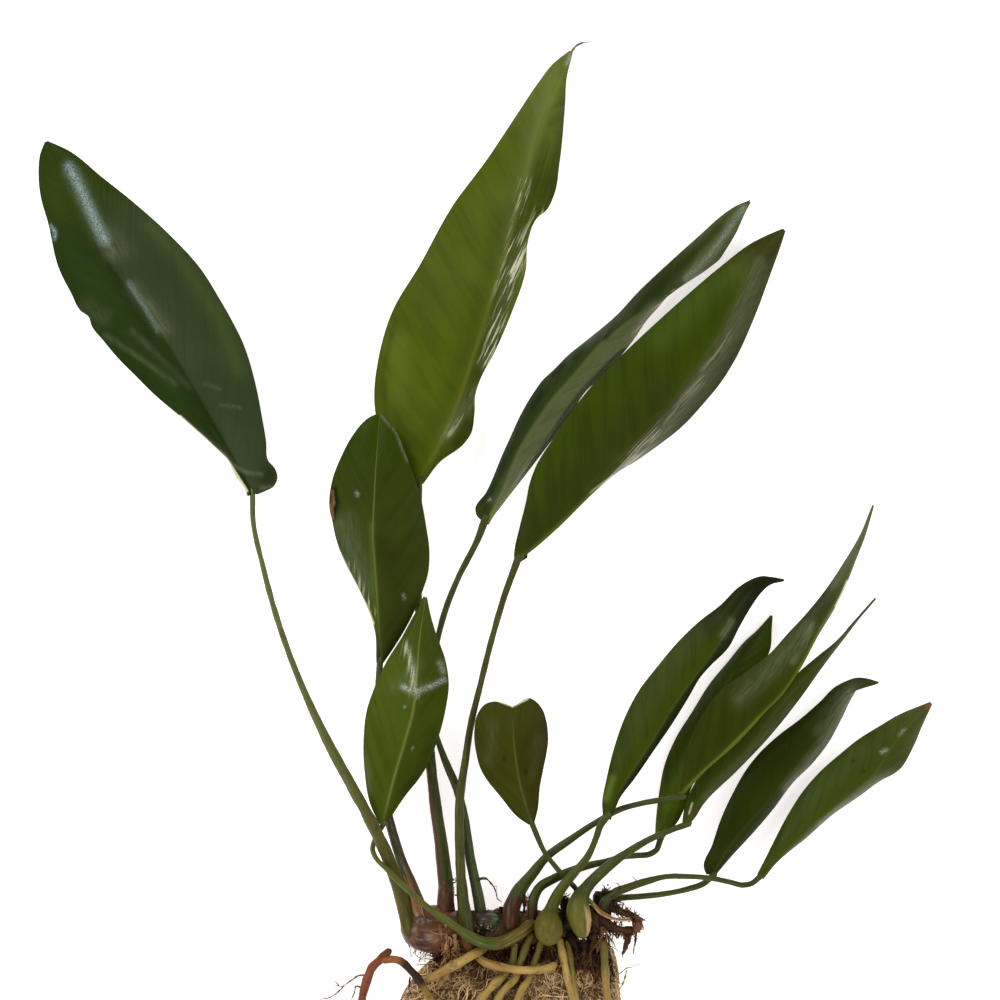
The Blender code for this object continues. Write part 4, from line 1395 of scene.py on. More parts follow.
STALKS = (
    Stalk("1", ((-69.9, 22.6, 11), (-69.7, 15, 11.5), (-66.9, 2, 12.5), (-62.5, -14.2, 13.6),
                (-55.9, -32.4, 15.2), (-47.8, -50.1, 17.5), (-40.4, -63.7, 19.4),
                (-34.2, -75.2, 19.8), (-29.4, -85.5, 18.4), (-26.2, -94.5, 15.8),
                (-24.4, -101, 15.4), (-23.5, -105, 15.8), (-22.6, -109.4, 13.8)),
          (0.85, 0.8, 0.85, 0.92, 1.0, 1.2, 1.55, 1.75, 1.9, 2.05, 2.2), GREEN_STALK),
    Stalk("2", ((-20, 25.8, 9.4), (-20.2, 12, 8.5), (-20.4, -4, 7.6), (-19.6, -20, 7.2),
                (-17.6, -40, 7.4), (-16.7, -56, 8), (-15.1, -70, 8.6), (-13, -85, 9.6),
                (-12, -95, 10.8)),
          (0.9, 1.0, 1.1, 1.2, 1.3, 1.45, 1.65, 1.85, 2.3, 2.8),
          SkinFinish(paint(62, 68, 28), paint(84, 54, 38), 0.94, 0.03, side=paint(84, 48, 32),
                     side_at=0.38, side_width=0.2, side_show=0.95, side_from=0.3),
          Socket(SHEATH, -12, 10)),
    Stalk("3", ((-31.8, -28.2, 13.7), (-32.2, -36, 12.8), (-32.4, -50, 12), (-31.3, -64, 12),
                (-28.2, -77.5, 12.2), (-24.7, -88.4, 12.6), (-21.7, -96, 13.4), (-20, -101, 14.4),
                (-18.8, -105.4, 13.4)),
          (1.0, 1.1, 1.2, 1.3, 1.4, 1.5, 1.6, 2.2, 2.6),
          SkinFinish(paint(70, 70, 38), paint(130, 84, 54), 0.82, 0.1, line=paint(170, 166, 136),
                     line_show=0.75, side=paint(62, 54, 44), side_at=-0.3, side_width=0.16,
                     side_show=0.8, side_from=0.1)),
    Stalk("4", ((-31.3, -76.7, 16.4), (-32.3, -78.4, 15.6), (-33.4, -80.6, 15.7),
                (-33.9, -83.2, 17.2), (-32.6, -86.2, 19.6), (-29.8, -88.9, 21.2),
                (-27, -91.8, 21.8), (-21.7, -96.7, 22), (-16.3, -101.3, 21.6), (-11, -104.9, 21),
                (-5.6, -108.5, 20.3), (-0.6, -110.9, 19.4), (4.4, -111, 19), (8, -109.4, 18.8),
                (10.6, -107.8, 18.2), (12.8, -106, 16.8), (13.8, -105, 14.5)),
          (0.9, 0.8, 0.78, 0.82, 0.86, 0.95, 1.08, 1.35, 1.75, 2.05, 2.0, 1.7), FRESH_STALK),
    Stalk("5", ((-0.6, 14.5, 13.9), (-2.2, 10.2, 13.4), (-8.3, -2, 12), (-12.4, -12.5, 11.2),
                (-15, -23, 11), (-16.2, -36, 11.3), (-15.4, -47, 12), (-12.5, -56, 11.4),
                (-8.6, -65.5, 10.6), (-6.3, -75, 10.6), (-4.5, -87, 11.3), (-3.1, -94, 11.8),
                (-1.9, -100, 12), (-1.2, -105, 12)),
          (1.3, 1.0, 0.95, 0.95, 0.95, 0.9, 0.9, 1.15, 1.35, 1.5, 1.65, 1.8),
          SkinFinish(paint(60, 64, 28), paint(60, 68, 34), 0.6, side=paint(76, 34, 24),
                     side_at=0.42, side_width=0.15, side_show=0.9, side_from=0.55)),
    Stalk("6", ((9.2, 2.6, 14.9), (5.7, -6.9, 14.6), (1.9, -19.8, 14.6), (-1.6, -33.7, 14.8),
                (-4.7, -46.8, 15), (-6.2, -57, 15.2), (-7.8, -68, 15.2), (-7.9, -80, 15),
                (-7.1, -95.6, 15.4), (-6.4, -102.5, 16.6), (-5.8, -107, 16.8), (-5, -111.5, 15),
                (-4.2, -113.8, 11.6)),
          (1.2, 1.0, 0.95, 0.92, 0.95, 1.05, 1.2, 1.35, 1.45, 1.55, 2.1, 2.0),
          SkinFinish(paint(66, 68, 26), paint(98, 64, 36), 0.955, 0.03, side=paint(84, 44, 28),
                     side_at=0.46, side_width=0.12, side_show=0.7, side_from=0.5)),
    Stalk("7", ((13.9, -75.8, 16.4), (15.2, -79, 16), (17.5, -84, 15.8), (20, -87.4, 15.2),
                (22.5, -90.4, 14.4), (24.8, -92.8, 13.4), (26.8, -95, 12)),
          (0.95, 0.85, 0.8, 0.78, 0.85), RIGHT_STALK, Socket(STEM, 28, 10)),
    Stalk("8", ((35.6, -74.2, 16), (34.3, -76, 16), (33.1, -79.4, 16), (30.4, -85.4, 16),
                (27.2, -89.4, 16.6), (24, -93, 17), (21.4, -97, 17.4), (19.6, -101, 17.8),
                (18.9, -104, 18.3), (18.8, -107.5, 18.5), (19, -111.9, 18.2)),
          (1.1, 1.05, 1.0, 1.0, 1.0, 1.0, 1.0, 1.05, 1.1, 1.2, 1.3, 1.4, 1.5, 1.6, 1.7, 1.85,
           2.2, 3.3, 4.3, 4.5, 4.3, 3.6),
          SkinFinish(paint(70, 76, 28), paint(96, 88, 34), 0.8, 0.1, line_show=0.25,
                     stain=paint(60, 44, 20), stain_show=0.4), groove=0.1),
    Stalk("9", ((51.9, -81.5, 8.1), (51.2, -83.4, 8), (49.2, -84.7, 8), (45, -85.2, 8),
                (41.5, -85.5, 8), (36.1, -87, 8.3), (30.7, -88.2, 8.8), (25.7, -89.8, 9.8),
                (20, -92.3, 11), (16, -94.7, 12), (14.3, -98, 13), (14, -102, 14),
                (14, -105.4, 13.4)),
          (1.0, 0.9, 0.9, 0.95, 1.0, 1.15, 1.3, 1.4, 1.45, 1.55, 1.6), RIGHT_STALK),
    Stalk("10", ((57.2, -67.7, 14.0), (53.5, -68.3, 13.6), (47, -69.4, 12.6), (40, -71.4, 11.4),
                 (33.4, -75, 11), (25.7, -80.1, 11.4), (18.2, -85.6, 11.8), (12.9, -91.9, 12),
                 (9.4, -96.6, 12.8), (7.9, -100.4, 14.2), (7.5, -104.6, 15.8), (7.6, -108.6, 15)),
          (0.9, 0.85, 0.85, 0.9, 0.95, 1.0, 1.1, 1.25, 1.45, 1.75, 2.3, 2.6, 2.2),
          SkinFinish(paint(62, 68, 26), paint(66, 42, 26), 0.86, 0.04, line=paint(112, 84, 56))),
    Stalk("11", ((58.8, -76.3, 10), (55, -77.7, 10.4), (49.2, -80.2, 11.2), (45, -82.6, 12),
                 (39.3, -86.2, 12.8), (34.3, -90.4, 13.4), (30.6, -94.2, 14.2), (28.4, -97.6, 15.4),
                 (27.6, -101, 17), (28.3, -104.6, 17.8), (29.2, -109.9, 16.6)),
          (1.0, 0.95, 0.9, 0.9, 0.92, 0.95, 1.0, 1.1, 1.2, 1.3, 1.45, 1.55, 1.65, 1.75, 1.85,
           2.1, 2.7, 3.4, 3.7, 3.4, 2.6, 1.6),
          SkinFinish(paint(64, 70, 30), paint(98, 92, 36), 0.78, 0.12, line_show=0.25,
                     side=paint(186, 150, 104), side_at=-0.42, side_width=0.34, side_show=0.9,
                     side_from=0.9, stain=paint(110, 76, 44), stain_show=0.5), groove=0.1),
    Stalk("12", ((66.9, -92.2, 8.4), (65.5, -93.4, 8.2), (61, -95.1, 8.2), (54, -96.6, 8.4),
                 (46, -97.5, 8.6), (40, -97.9, 8.6), (36, -98.4, 8.6)),
          (0.95, 0.9, 0.88, 0.88, 0.95, 1.2, 1.5), RIGHT_STALK, Socket(STEM, 33.4, 0)),
    Stalk("13", ((81.5, -92, 9.8), (79.8, -93.4, 10.4), (77, -94, 11), (73, -93.1, 11.5),
                 (67.5, -92, 11.9), (60, -91.4, 12.2), (53, -91.6, 12.4), (49, -92.6, 12.6),
                 (42, -94.9, 12.8), (37.9, -96.6, 13)),
          (1.0, 0.88, 0.82, 0.8, 0.8, 0.85, 1.1, 1.3, 1.45, 1.7), RIGHT_STALK,
          Socket(STEM, 35.4, 50)),
)

ROOTS = (
    Tube("1", ((0.6, -112, 13), (-2, -113.8, 15.2), (-5.6, -115.7, 16.6), (-11, -118.8, 16.2),
               (-15, -121, 14.8), (-18.6, -122.8, 11.8)), (1.2, 1.4, 1.45, 1.35, 1.1), PALE_ROOT),
    Tube("2", ((-9, -116.8, 13.2), (-11.8, -120, 13), (-14.2, -124.5, 12.8)), (1.2, 1.2, 0.9),
         PALE_ROOT, Socket(STEM, -6.6, 175)),
    Tube("3", ((21, -117.6, 13), (18.4, -118.9, 16), (13, -119.5, 16.5), (5.7, -118.7, 16.5),
               (0, -117, 16.2), (-3, -115.2, 13.6)), (1.1, 1.2, 1.25, 1.35, 1.2), PALE_ROOT),
    Tube("4", ((13.8, -108, 15.4), (13.1, -109.6, 16.3), (12.2, -111.8, 15.8), (11.2, -114.4, 15),
               (10, -117.5, 14.4), (8.8, -121.5, 14), (5.4, -125.4, 13.8), (3.2, -129, 13.6),
               (0.5, -139, 13)), (1.0, 1.1, 1.1, 1.15, 1.2, 1.1, 0.9), OLIVE_ROOT),
    Tube("5", ((17, -109, 13.4), (16.3, -111.4, 14.4), (15.4, -114.6, 14.2), (14.2, -118, 14),
               (12.8, -122, 13.8), (10.4, -125.8, 13.7), (8.6, -132, 13.5), (7, -141, 12.8)),
         (0.9, 1.0, 1.05, 1.0, 0.8), OLIVE_ROOT),
    Tube("6", ((22, -109.6, 12.6), (22.4, -112, 13.4), (23.2, -116, 13.8), (24.4, -122, 13.7),
               (26.2, -129, 13.3), (28.5, -141, 12.4)), (1.0, 1.05, 1.05, 1.0, 0.8), PALE_ROOT),
    Tube("7", ((24.2, -110, 12.4), (24.8, -113.4, 13), (25.5, -118, 13.2), (26.8, -127, 13.2),
               (28.8, -134, 13), (31.6, -142, 11.5)), (0.85, 0.9, 0.85, 0.8), OLIVE_ROOT),
    Tube("8", ((8.8, -110.6, 15.6), (8.5, -113, 15.6), (7.9, -117, 14.6), (5.8, -120.4, 14.1),
               (1.8, -124.2, 13.8), (-2, -129, 13.5), (-6, -139, 12.6)),
         (1.0, 1.05, 1.15, 1.3, 1.3, 1.1, 0.9), OLIVE_ROOT),
    Tube("9", ((34.6, -110, 10.6), (35.2, -112.4, 12), (35.5, -118, 12.3), (36.2, -126, 11.5),
               (37.2, -135, 10)), (1.0, 1.2, 1.15, 1.0, 0.8), OLIVE_ROOT),
    Tube("loop", ((-28.4, -113.2, 11.8), (-30.2, -114.9, 11.4), (-32.4, -116.9, 9.8),
                  (-34.6, -119.8, 7.8), (-36.2, -124, 5.4), (-37.4, -131, 3), (-38, -142, 1.8),
                  (-34, -152, 1.7)),
         (1.15, 1.35, 1.35, 1.3, 1.3, 1.2, 1.1), RED_ROOT, node="loop_root", slot="old_root"),
    Tube("loop_arch", ((-8, -141, 13.6), (-12.5, -133, 14.4), (-16.4, -128, 15),
                       (-19.4, -123.6, 15), (-21.2, -120.9, 14.8), (-23.6, -118.2, 14),
                       (-26.6, -116.4, 12.8), (-29, -116.3, 11.8), (-31.4, -116.6, 10.8)),
         (1.15, 1.2, 1.25, 1.2, 1.15, 1.2, 1.2), DARK_ROOT, node="loop_root", slot="old_root"),
    Tube("old_base_upper", ((34.6, -96, 11), (36, -98, 12), (37.8, -100.2, 12.2),
                            (40.4, -101.9, 12.2), (43.4, -102.9, 12), (45.4, -104.6, 11.4)),
         (1.5, 1.9, 1.9, 1.3, 1.0, 1.0, 1.0), DEAD_BASE, node="dead_base_upper", slot="stem"),
    Tube("old_base_strap", ((29.6, -97.2, 14), (32.7, -100.3, 14.4), (34, -101.8, 14.2),
                            (36, -103.1, 14), (38.6, -104.1, 13.8), (41, -104.4, 13.6),
                            (43.6, -104.2, 13.2)),
         (0.5, 0.6, 0.65, 0.6, 0.5, 0.45), STRAP, node="dead_base_upper", slot="stem"),
    Tube("old_base_knob", ((43.6, -102.8, 11.4), (45, -104.2, 11.2), (45.4, -106, 11),
                           (44.8, -108.4, 10)),
         (0.9, 1.3, 1.5, 1.3, 0.8), DEAD_KNOB, node="dead_base_upper", slot="stem"),
    Tube("old_base_lower", ((31, -103.4, 11), (34, -104.4, 12), (36.8, -106, 12),
                            (39.8, -107.2, 11.4), (42.6, -107.6, 10.6), (44.8, -107.2, 10.4)),
         (1.6, 1.9, 1.7, 1.1, 1.2, 0.9), DEAD_BASE, node="dead_base_lower", slot="stem"),
    Tube("mossy_knob", ((-3.6, -105, 13.6), (-1.4, -104.8, 15), (1.6, -104.8, 15.2),
                        (4.4, -105.2, 14)), (1.4, 2.4, 2.5, 2.5, 1.8),
         SkinFinish(paint(58, 46, 36), paint(62, 74, 46), 0.6, 0.08, line=paint(96, 90, 72),
                    line_show=0.5, stain=paint(26, 22, 18), stain_show=0.8, stain_size=620.0,
                    rough=0.4, coat=0.2), node="rhizome", slot="stem"),
)

RED_FIBRE = FibreFinish(paint(66, 40, 28), paint(150, 110, 78))
TORN_FIBRE = FibreFinish(paint(38, 24, 16), paint(124, 84, 54), 0.6)
BUFF_FIBRE = FibreFinish(paint(84, 48, 30), paint(176, 136, 90), 0.6)
STRAW_FIBRE = FibreFinish(paint(96, 70, 40), paint(190, 166, 120))
WISPS = (
    Wisps("rootlets_left", (
        Strand(((-35.8, -121.1, 7), (-37.5, -121.1, 6), (-40.3, -122.5, 4), (-42.4, -124.1, 3),
                (-45.5, -124.4, 2)), 0.32, 0.5),
        Strand(((-42.4, -124.1, 3), (-44.4, -126.3, 2.2), (-47.2, -128, 1.5),
                (-50.3, -128.4, 1), (-53.4, -128.4, 0.6)), 0.25, 0.35),
        Strand(((-36.9, -124.9, 5), (-39, -124.5, 4), (-39.3, -127, 3), (-42, -128.4, 2)),
               0.3, 0.5),
        Strand(((-44, -124.4, 2.4), (-45.2, -122.9, 2.8), (-46, -122.2, 3)), 0.2, 0.5),
        Strand(((-24.1, -109.4, 9), (-22.6, -113.6, 7), (-22.4, -114.9, 6),
                (-22.9, -117.7, 4)), 0.18, 0.6),
        Strand(((-19.5, -114, 8), (-19.8, -116, 8), (-20, -118, 8)), 0.16, 0.6),
        Strand(((-21, -118, 9), (-18, -117.7, 9.5), (-15.5, -118, 10)), 0.14, 0.8),
        Strand(((-13.5, -112.5, 9), (-14.6, -114.6, 9), (-15.8, -116.7, 9)), 0.35, 0.1),
        Strand(((-22.7, -121.6, 12), (-22.9, -124, 10), (-22.6, -127, 8)), 0.3, 0.0),
    ), RED_FIBRE, "old_root"),
    Wisps("rootlets_right", (
        Strand(((36.7, -109.2, 9), (37.6, -116, 9), (38.8, -123, 7), (39.8, -132, 4)),
               0.35, 0.9),
        Strand(((39.3, -121, 5), (42.2, -119.3, 4), (45.2, -118, 3), (46.9, -118, 2)),
               0.18, 0.5),
        Strand(((42.2, -119.7, 4), (41.3, -123.2, 4), (40, -125.9, 4), (40.9, -127.5, 3)),
               0.3, 0.6),
    ), STRAW_FIBRE),
    Wisps("sheath_folds", (
        Strand(((-13.8, -105.6, 17.4), (-13.5, -108.6, 17.2), (-12.9, -112, 15.6),
                (-11.6, -115.6, 13)), 1.1, 0.35),
        Strand(((-14.6, -108.6, 17.2), (-14.3, -111.6, 15.8), (-13.2, -114.4, 13)), 0.7, 0.3),
        Strand(((-9.4, -108.4, 16.6), (-9, -111.6, 15.2), (-8.8, -115.8, 12.2)), 0.8, 0.8),
        Strand(((-15.6, -114, 10.6), (-15, -116, 10), (-13.8, -118, 9.6)), 0.8, 0.0),
        Strand(((-17.2, -107.5, 18.1), (-14, -108.5, 18.3), (-10, -107.6, 17.2)), 0.13, 1.0),
        Strand(((-19.7, -99.4, 16.6), (-18.9, -102, 17), (-18.2, -104.2, 17.4)), 0.13, 1.0),
        Strand(((-22.3, -97, 15.4), (-21.8, -100, 16.4), (-21.5, -102.4, 17)), 0.13, 1.0),
    ), BUFF_FIBRE, "sheath", 0.1),
    Wisps("brown_membranes", (
        Strand(((31.8, -105, 13.2), (32.4, -109, 13.4), (31.2, -114, 12.6), (31.6, -119, 12)),
               1.2, 0.3),
        Strand(((34.6, -106.4, 13), (34.4, -110, 12.6), (33.2, -114.6, 12.4)), 1.0, 0.5),
        Strand(((25, -108.4, 13), (26.4, -111.4, 13), (28, -114, 12.6)), 1.6, 0.05),
        Strand(((29.4, -110.4, 13.4), (29.6, -113.4, 13), (28.8, -117, 12.4)), 1.2, 0.15),
        Strand(((33.8, -101, 12), (33.6, -104, 12.4), (32.8, -107, 12.4)), 1.5, 0.1),
        Strand(((23.4, -101, 12.4), (24, -104, 13.4), (24.2, -107.4, 13.4)), 1.4, 0.1),
        Strand(((22.6, -97.4, 12.6), (23.2, -99.6, 13), (23.4, -102, 13)), 1.2, 0.15),
        Strand(((36.2, -107.4, 12.6), (36, -111.6, 12), (36.8, -118, 10.4)), 0.3, 1.0),
        Strand(((35.8, -107, 13), (33.6, -111, 13.6), (30.8, -114.6, 13.4)), 0.22, 1.0),
        Strand(((11.2, -96.8, 13.4), (11.6, -99.4, 14), (11, -103, 15)), 0.7, 0.1),
        Strand(((12, -97.6, 13.6), (12.4, -100, 14.4), (12.2, -103, 15)), 0.35, 0.9),
        Strand(((4.6, -100.6, 14), (4.2, -103, 15), (4.8, -106, 16)), 0.7, 0.1),
        Strand(((-7.6, -112.8, 14.6), (-4, -113.6, 14.4), (1, -113.4, 14)), 1.2, 0.2),
    ), TORN_FIBRE, "stem", 0.1),
    Wisps("torn_shreds", (
        Strand(((42.6, -106.4, 10.6), (42, -110.4, 9.6), (40.8, -115.8, 7)), 0.85, 0.35),
        Strand(((43.4, -106.4, 10.4), (43, -110.4, 9), (41.4, -114.6, 7)), 0.6, 0.3),
        Strand(((44.9, -107.4, 10.6), (44.7, -111, 9), (44, -114.9, 7)), 0.42, 0.4),
        Strand(((45.8, -103.8, 11.6), (47, -104.2, 11), (47.8, -104.6, 10)), 0.4, 0.3),
        Strand(((45.8, -105.4, 11.4), (46.8, -106.2, 10.6), (47.2, -107.4, 9.6)), 0.45, 0.4),
        Strand(((45.2, -93.4, 13.6), (44.4, -91.8, 14), (43.2, -90.8, 14.2)), 0.14, 0.3),
        Strand(((40, -95.4, 14), (39.6, -93.6, 14.6), (38.2, -93.2, 14.4)), 0.16, 0.3),
    ), TORN_FIBRE, "stem", 0.12),
    Wisps("aerial_rootlet", (
        Strand(((-2.4, -92.6, 12.5), (-1.5, -92, 12.8), (0, -92, 13), (2, -94, 13),
                (3.2, -97, 12.6), (4.6, -99.8, 12)), 0.4, 0.3),
        Strand(((2.2, -94.4, 13), (3.2, -94.4, 13.4), (3.5, -95.6, 13.6)), 0.1, 0.6),
    ), FibreFinish(paint(58, 60, 34), paint(96, 92, 50))),
)


TUFTS = (
    Tuft("torn_right", ((34, -97.4, 12), (37, -99, 13), (40.6, -101.8, 13.2), (44.4, -104, 13),
                        (45.8, -107, 11.6)), 150, 1.3, -40, (0.8, 2.6), TORN_FIBRE, 0.2, 1.5),
    Tuft("torn_under", ((30.4, -104, 12.5), (33, -106.4, 12.6), (37, -107, 12), (42, -107.8, 11),
                        (44.4, -108, 10)), 120, 1.2, -80, (1.0, 3.0), TORN_FIBRE, 0.2, 1.0),
    Tuft("torn_cap", ((35.6, -95.4, 13.6), (36.6, -97.4, 14.2), (37.2, -99.4, 13.6)),
         70, 1.2, 120, (0.6, 1.8), TORN_FIBRE, 0.17, 1.6, (0.0, 0.4)),
    Tuft("torn_bases", ((9.4, -99, 14.4), (11.4, -99, 13.6), (12.6, -100.6, 13.6)), 40, 1.0, 85,
         (1.2, 3.0), TORN_FIBRE, 0.15, 0.5, (0.0, 0.4)),
    Tuft("torn_middle", ((20.8, -98.4, 12), (22.6, -98.6, 12.6), (24.4, -98.6, 12.4),
                         (25, -102, 13)), 60, 1.2, 100, (0.6, 1.8), TORN_FIBRE, 0.18, 1.4, (0.0, 0.4)),
    Tuft("torn_front", ((-14.6, -113.6, 11), (-9, -113.6, 12), (0, -113.4, 12.6), (12, -112.8, 12.4),
                        (24, -111.2, 12), (36, -109.8, 11)), 620, 1.5, -95, (2.0, 6.5),
         TORN_FIBRE, 0.17, 0.7, (0.0, 0.7)),
    Tuft("torn_side", ((27, -113, 11.6), (31, -115, 11.4), (35, -114, 11), (36, -120, 10)), 240,
         1.8, -95, (3.0, 8.0), TORN_FIBRE, 0.17, 0.5),
    Tuft("buff_flap", ((-12.6, -104.6, 17.6), (-11.6, -109, 17), (-11, -113.4, 14.6),
                       (-12.4, -116, 12)), 46, 0.6, -95, (2.0, 4.6), BUFF_FIBRE, 0.24, 0.25,
         slot="sheath"),
    Tuft("buff_front", ((-8.6, -110.6, 15.6), (-8.4, -113, 14.2), (-9, -115.6, 12)), 26, 0.5,
         -100, (2.0, 4.5), BUFF_FIBRE, 0.24, 0.25, (0.5, 1.0), "sheath"),
    Tuft("sheath_hem", ((-22, -111.6, 9), (-18, -113.4, 10), (-14, -113.6, 11)), 26, 0.6, -90,
         (2.0, 5.0), BUFF_FIBRE, 0.09, 0.5, slot="sheath"),
)
TRUNKS = (
    Trunk("creeping_stem", STEM,
          BarkFinish(paint(40, 26, 18), paint(84, 58, 38), paint(140, 112, 82), 0.25, 0.3,
                     coat=0.0),
          "rhizome", "stem", 0.07, 0.06),
    Trunk("papery_sheath", SHEATH,
          BarkFinish(paint(72, 46, 34), paint(104, 70, 42), paint(160, 134, 118), 0.05,
                     band=0.3, rough=0.3, coat=0.25, relief=0.00015),
          "crown_sheath", "sheath", 0.008, 0.014, 4.5),
)
CRUMBS = (
    Crumbs("stem_crumbs", (
        (-0.6, -106.4, 3.0, 300), (-10.0, -92.6, 1.0, 16), (-9.8, -96.0, 1.0, 14),
        (23.5, -100.0, 2.6, 170), (36.0, -99.0, 3.4, 200), (38.0, -107.0, 3.6, 160),
        (8.4, -103.6, 2.8, 120), (26, -110.6, 2.6, 90),
    ), FibreFinish(paint(36, 26, 19), paint(140, 122, 96), 0.5), (0.12, 0.36), 7.0),
    Crumbs("moss_tuft", (
        (3.4, -105.2, 2.2, 200), (1.6, -103.4, 1.6, 60),
    ), FibreFinish(paint(44, 50, 30), paint(92, 102, 68), 0.5), (0.1, 0.26), 2.5, 12),
)

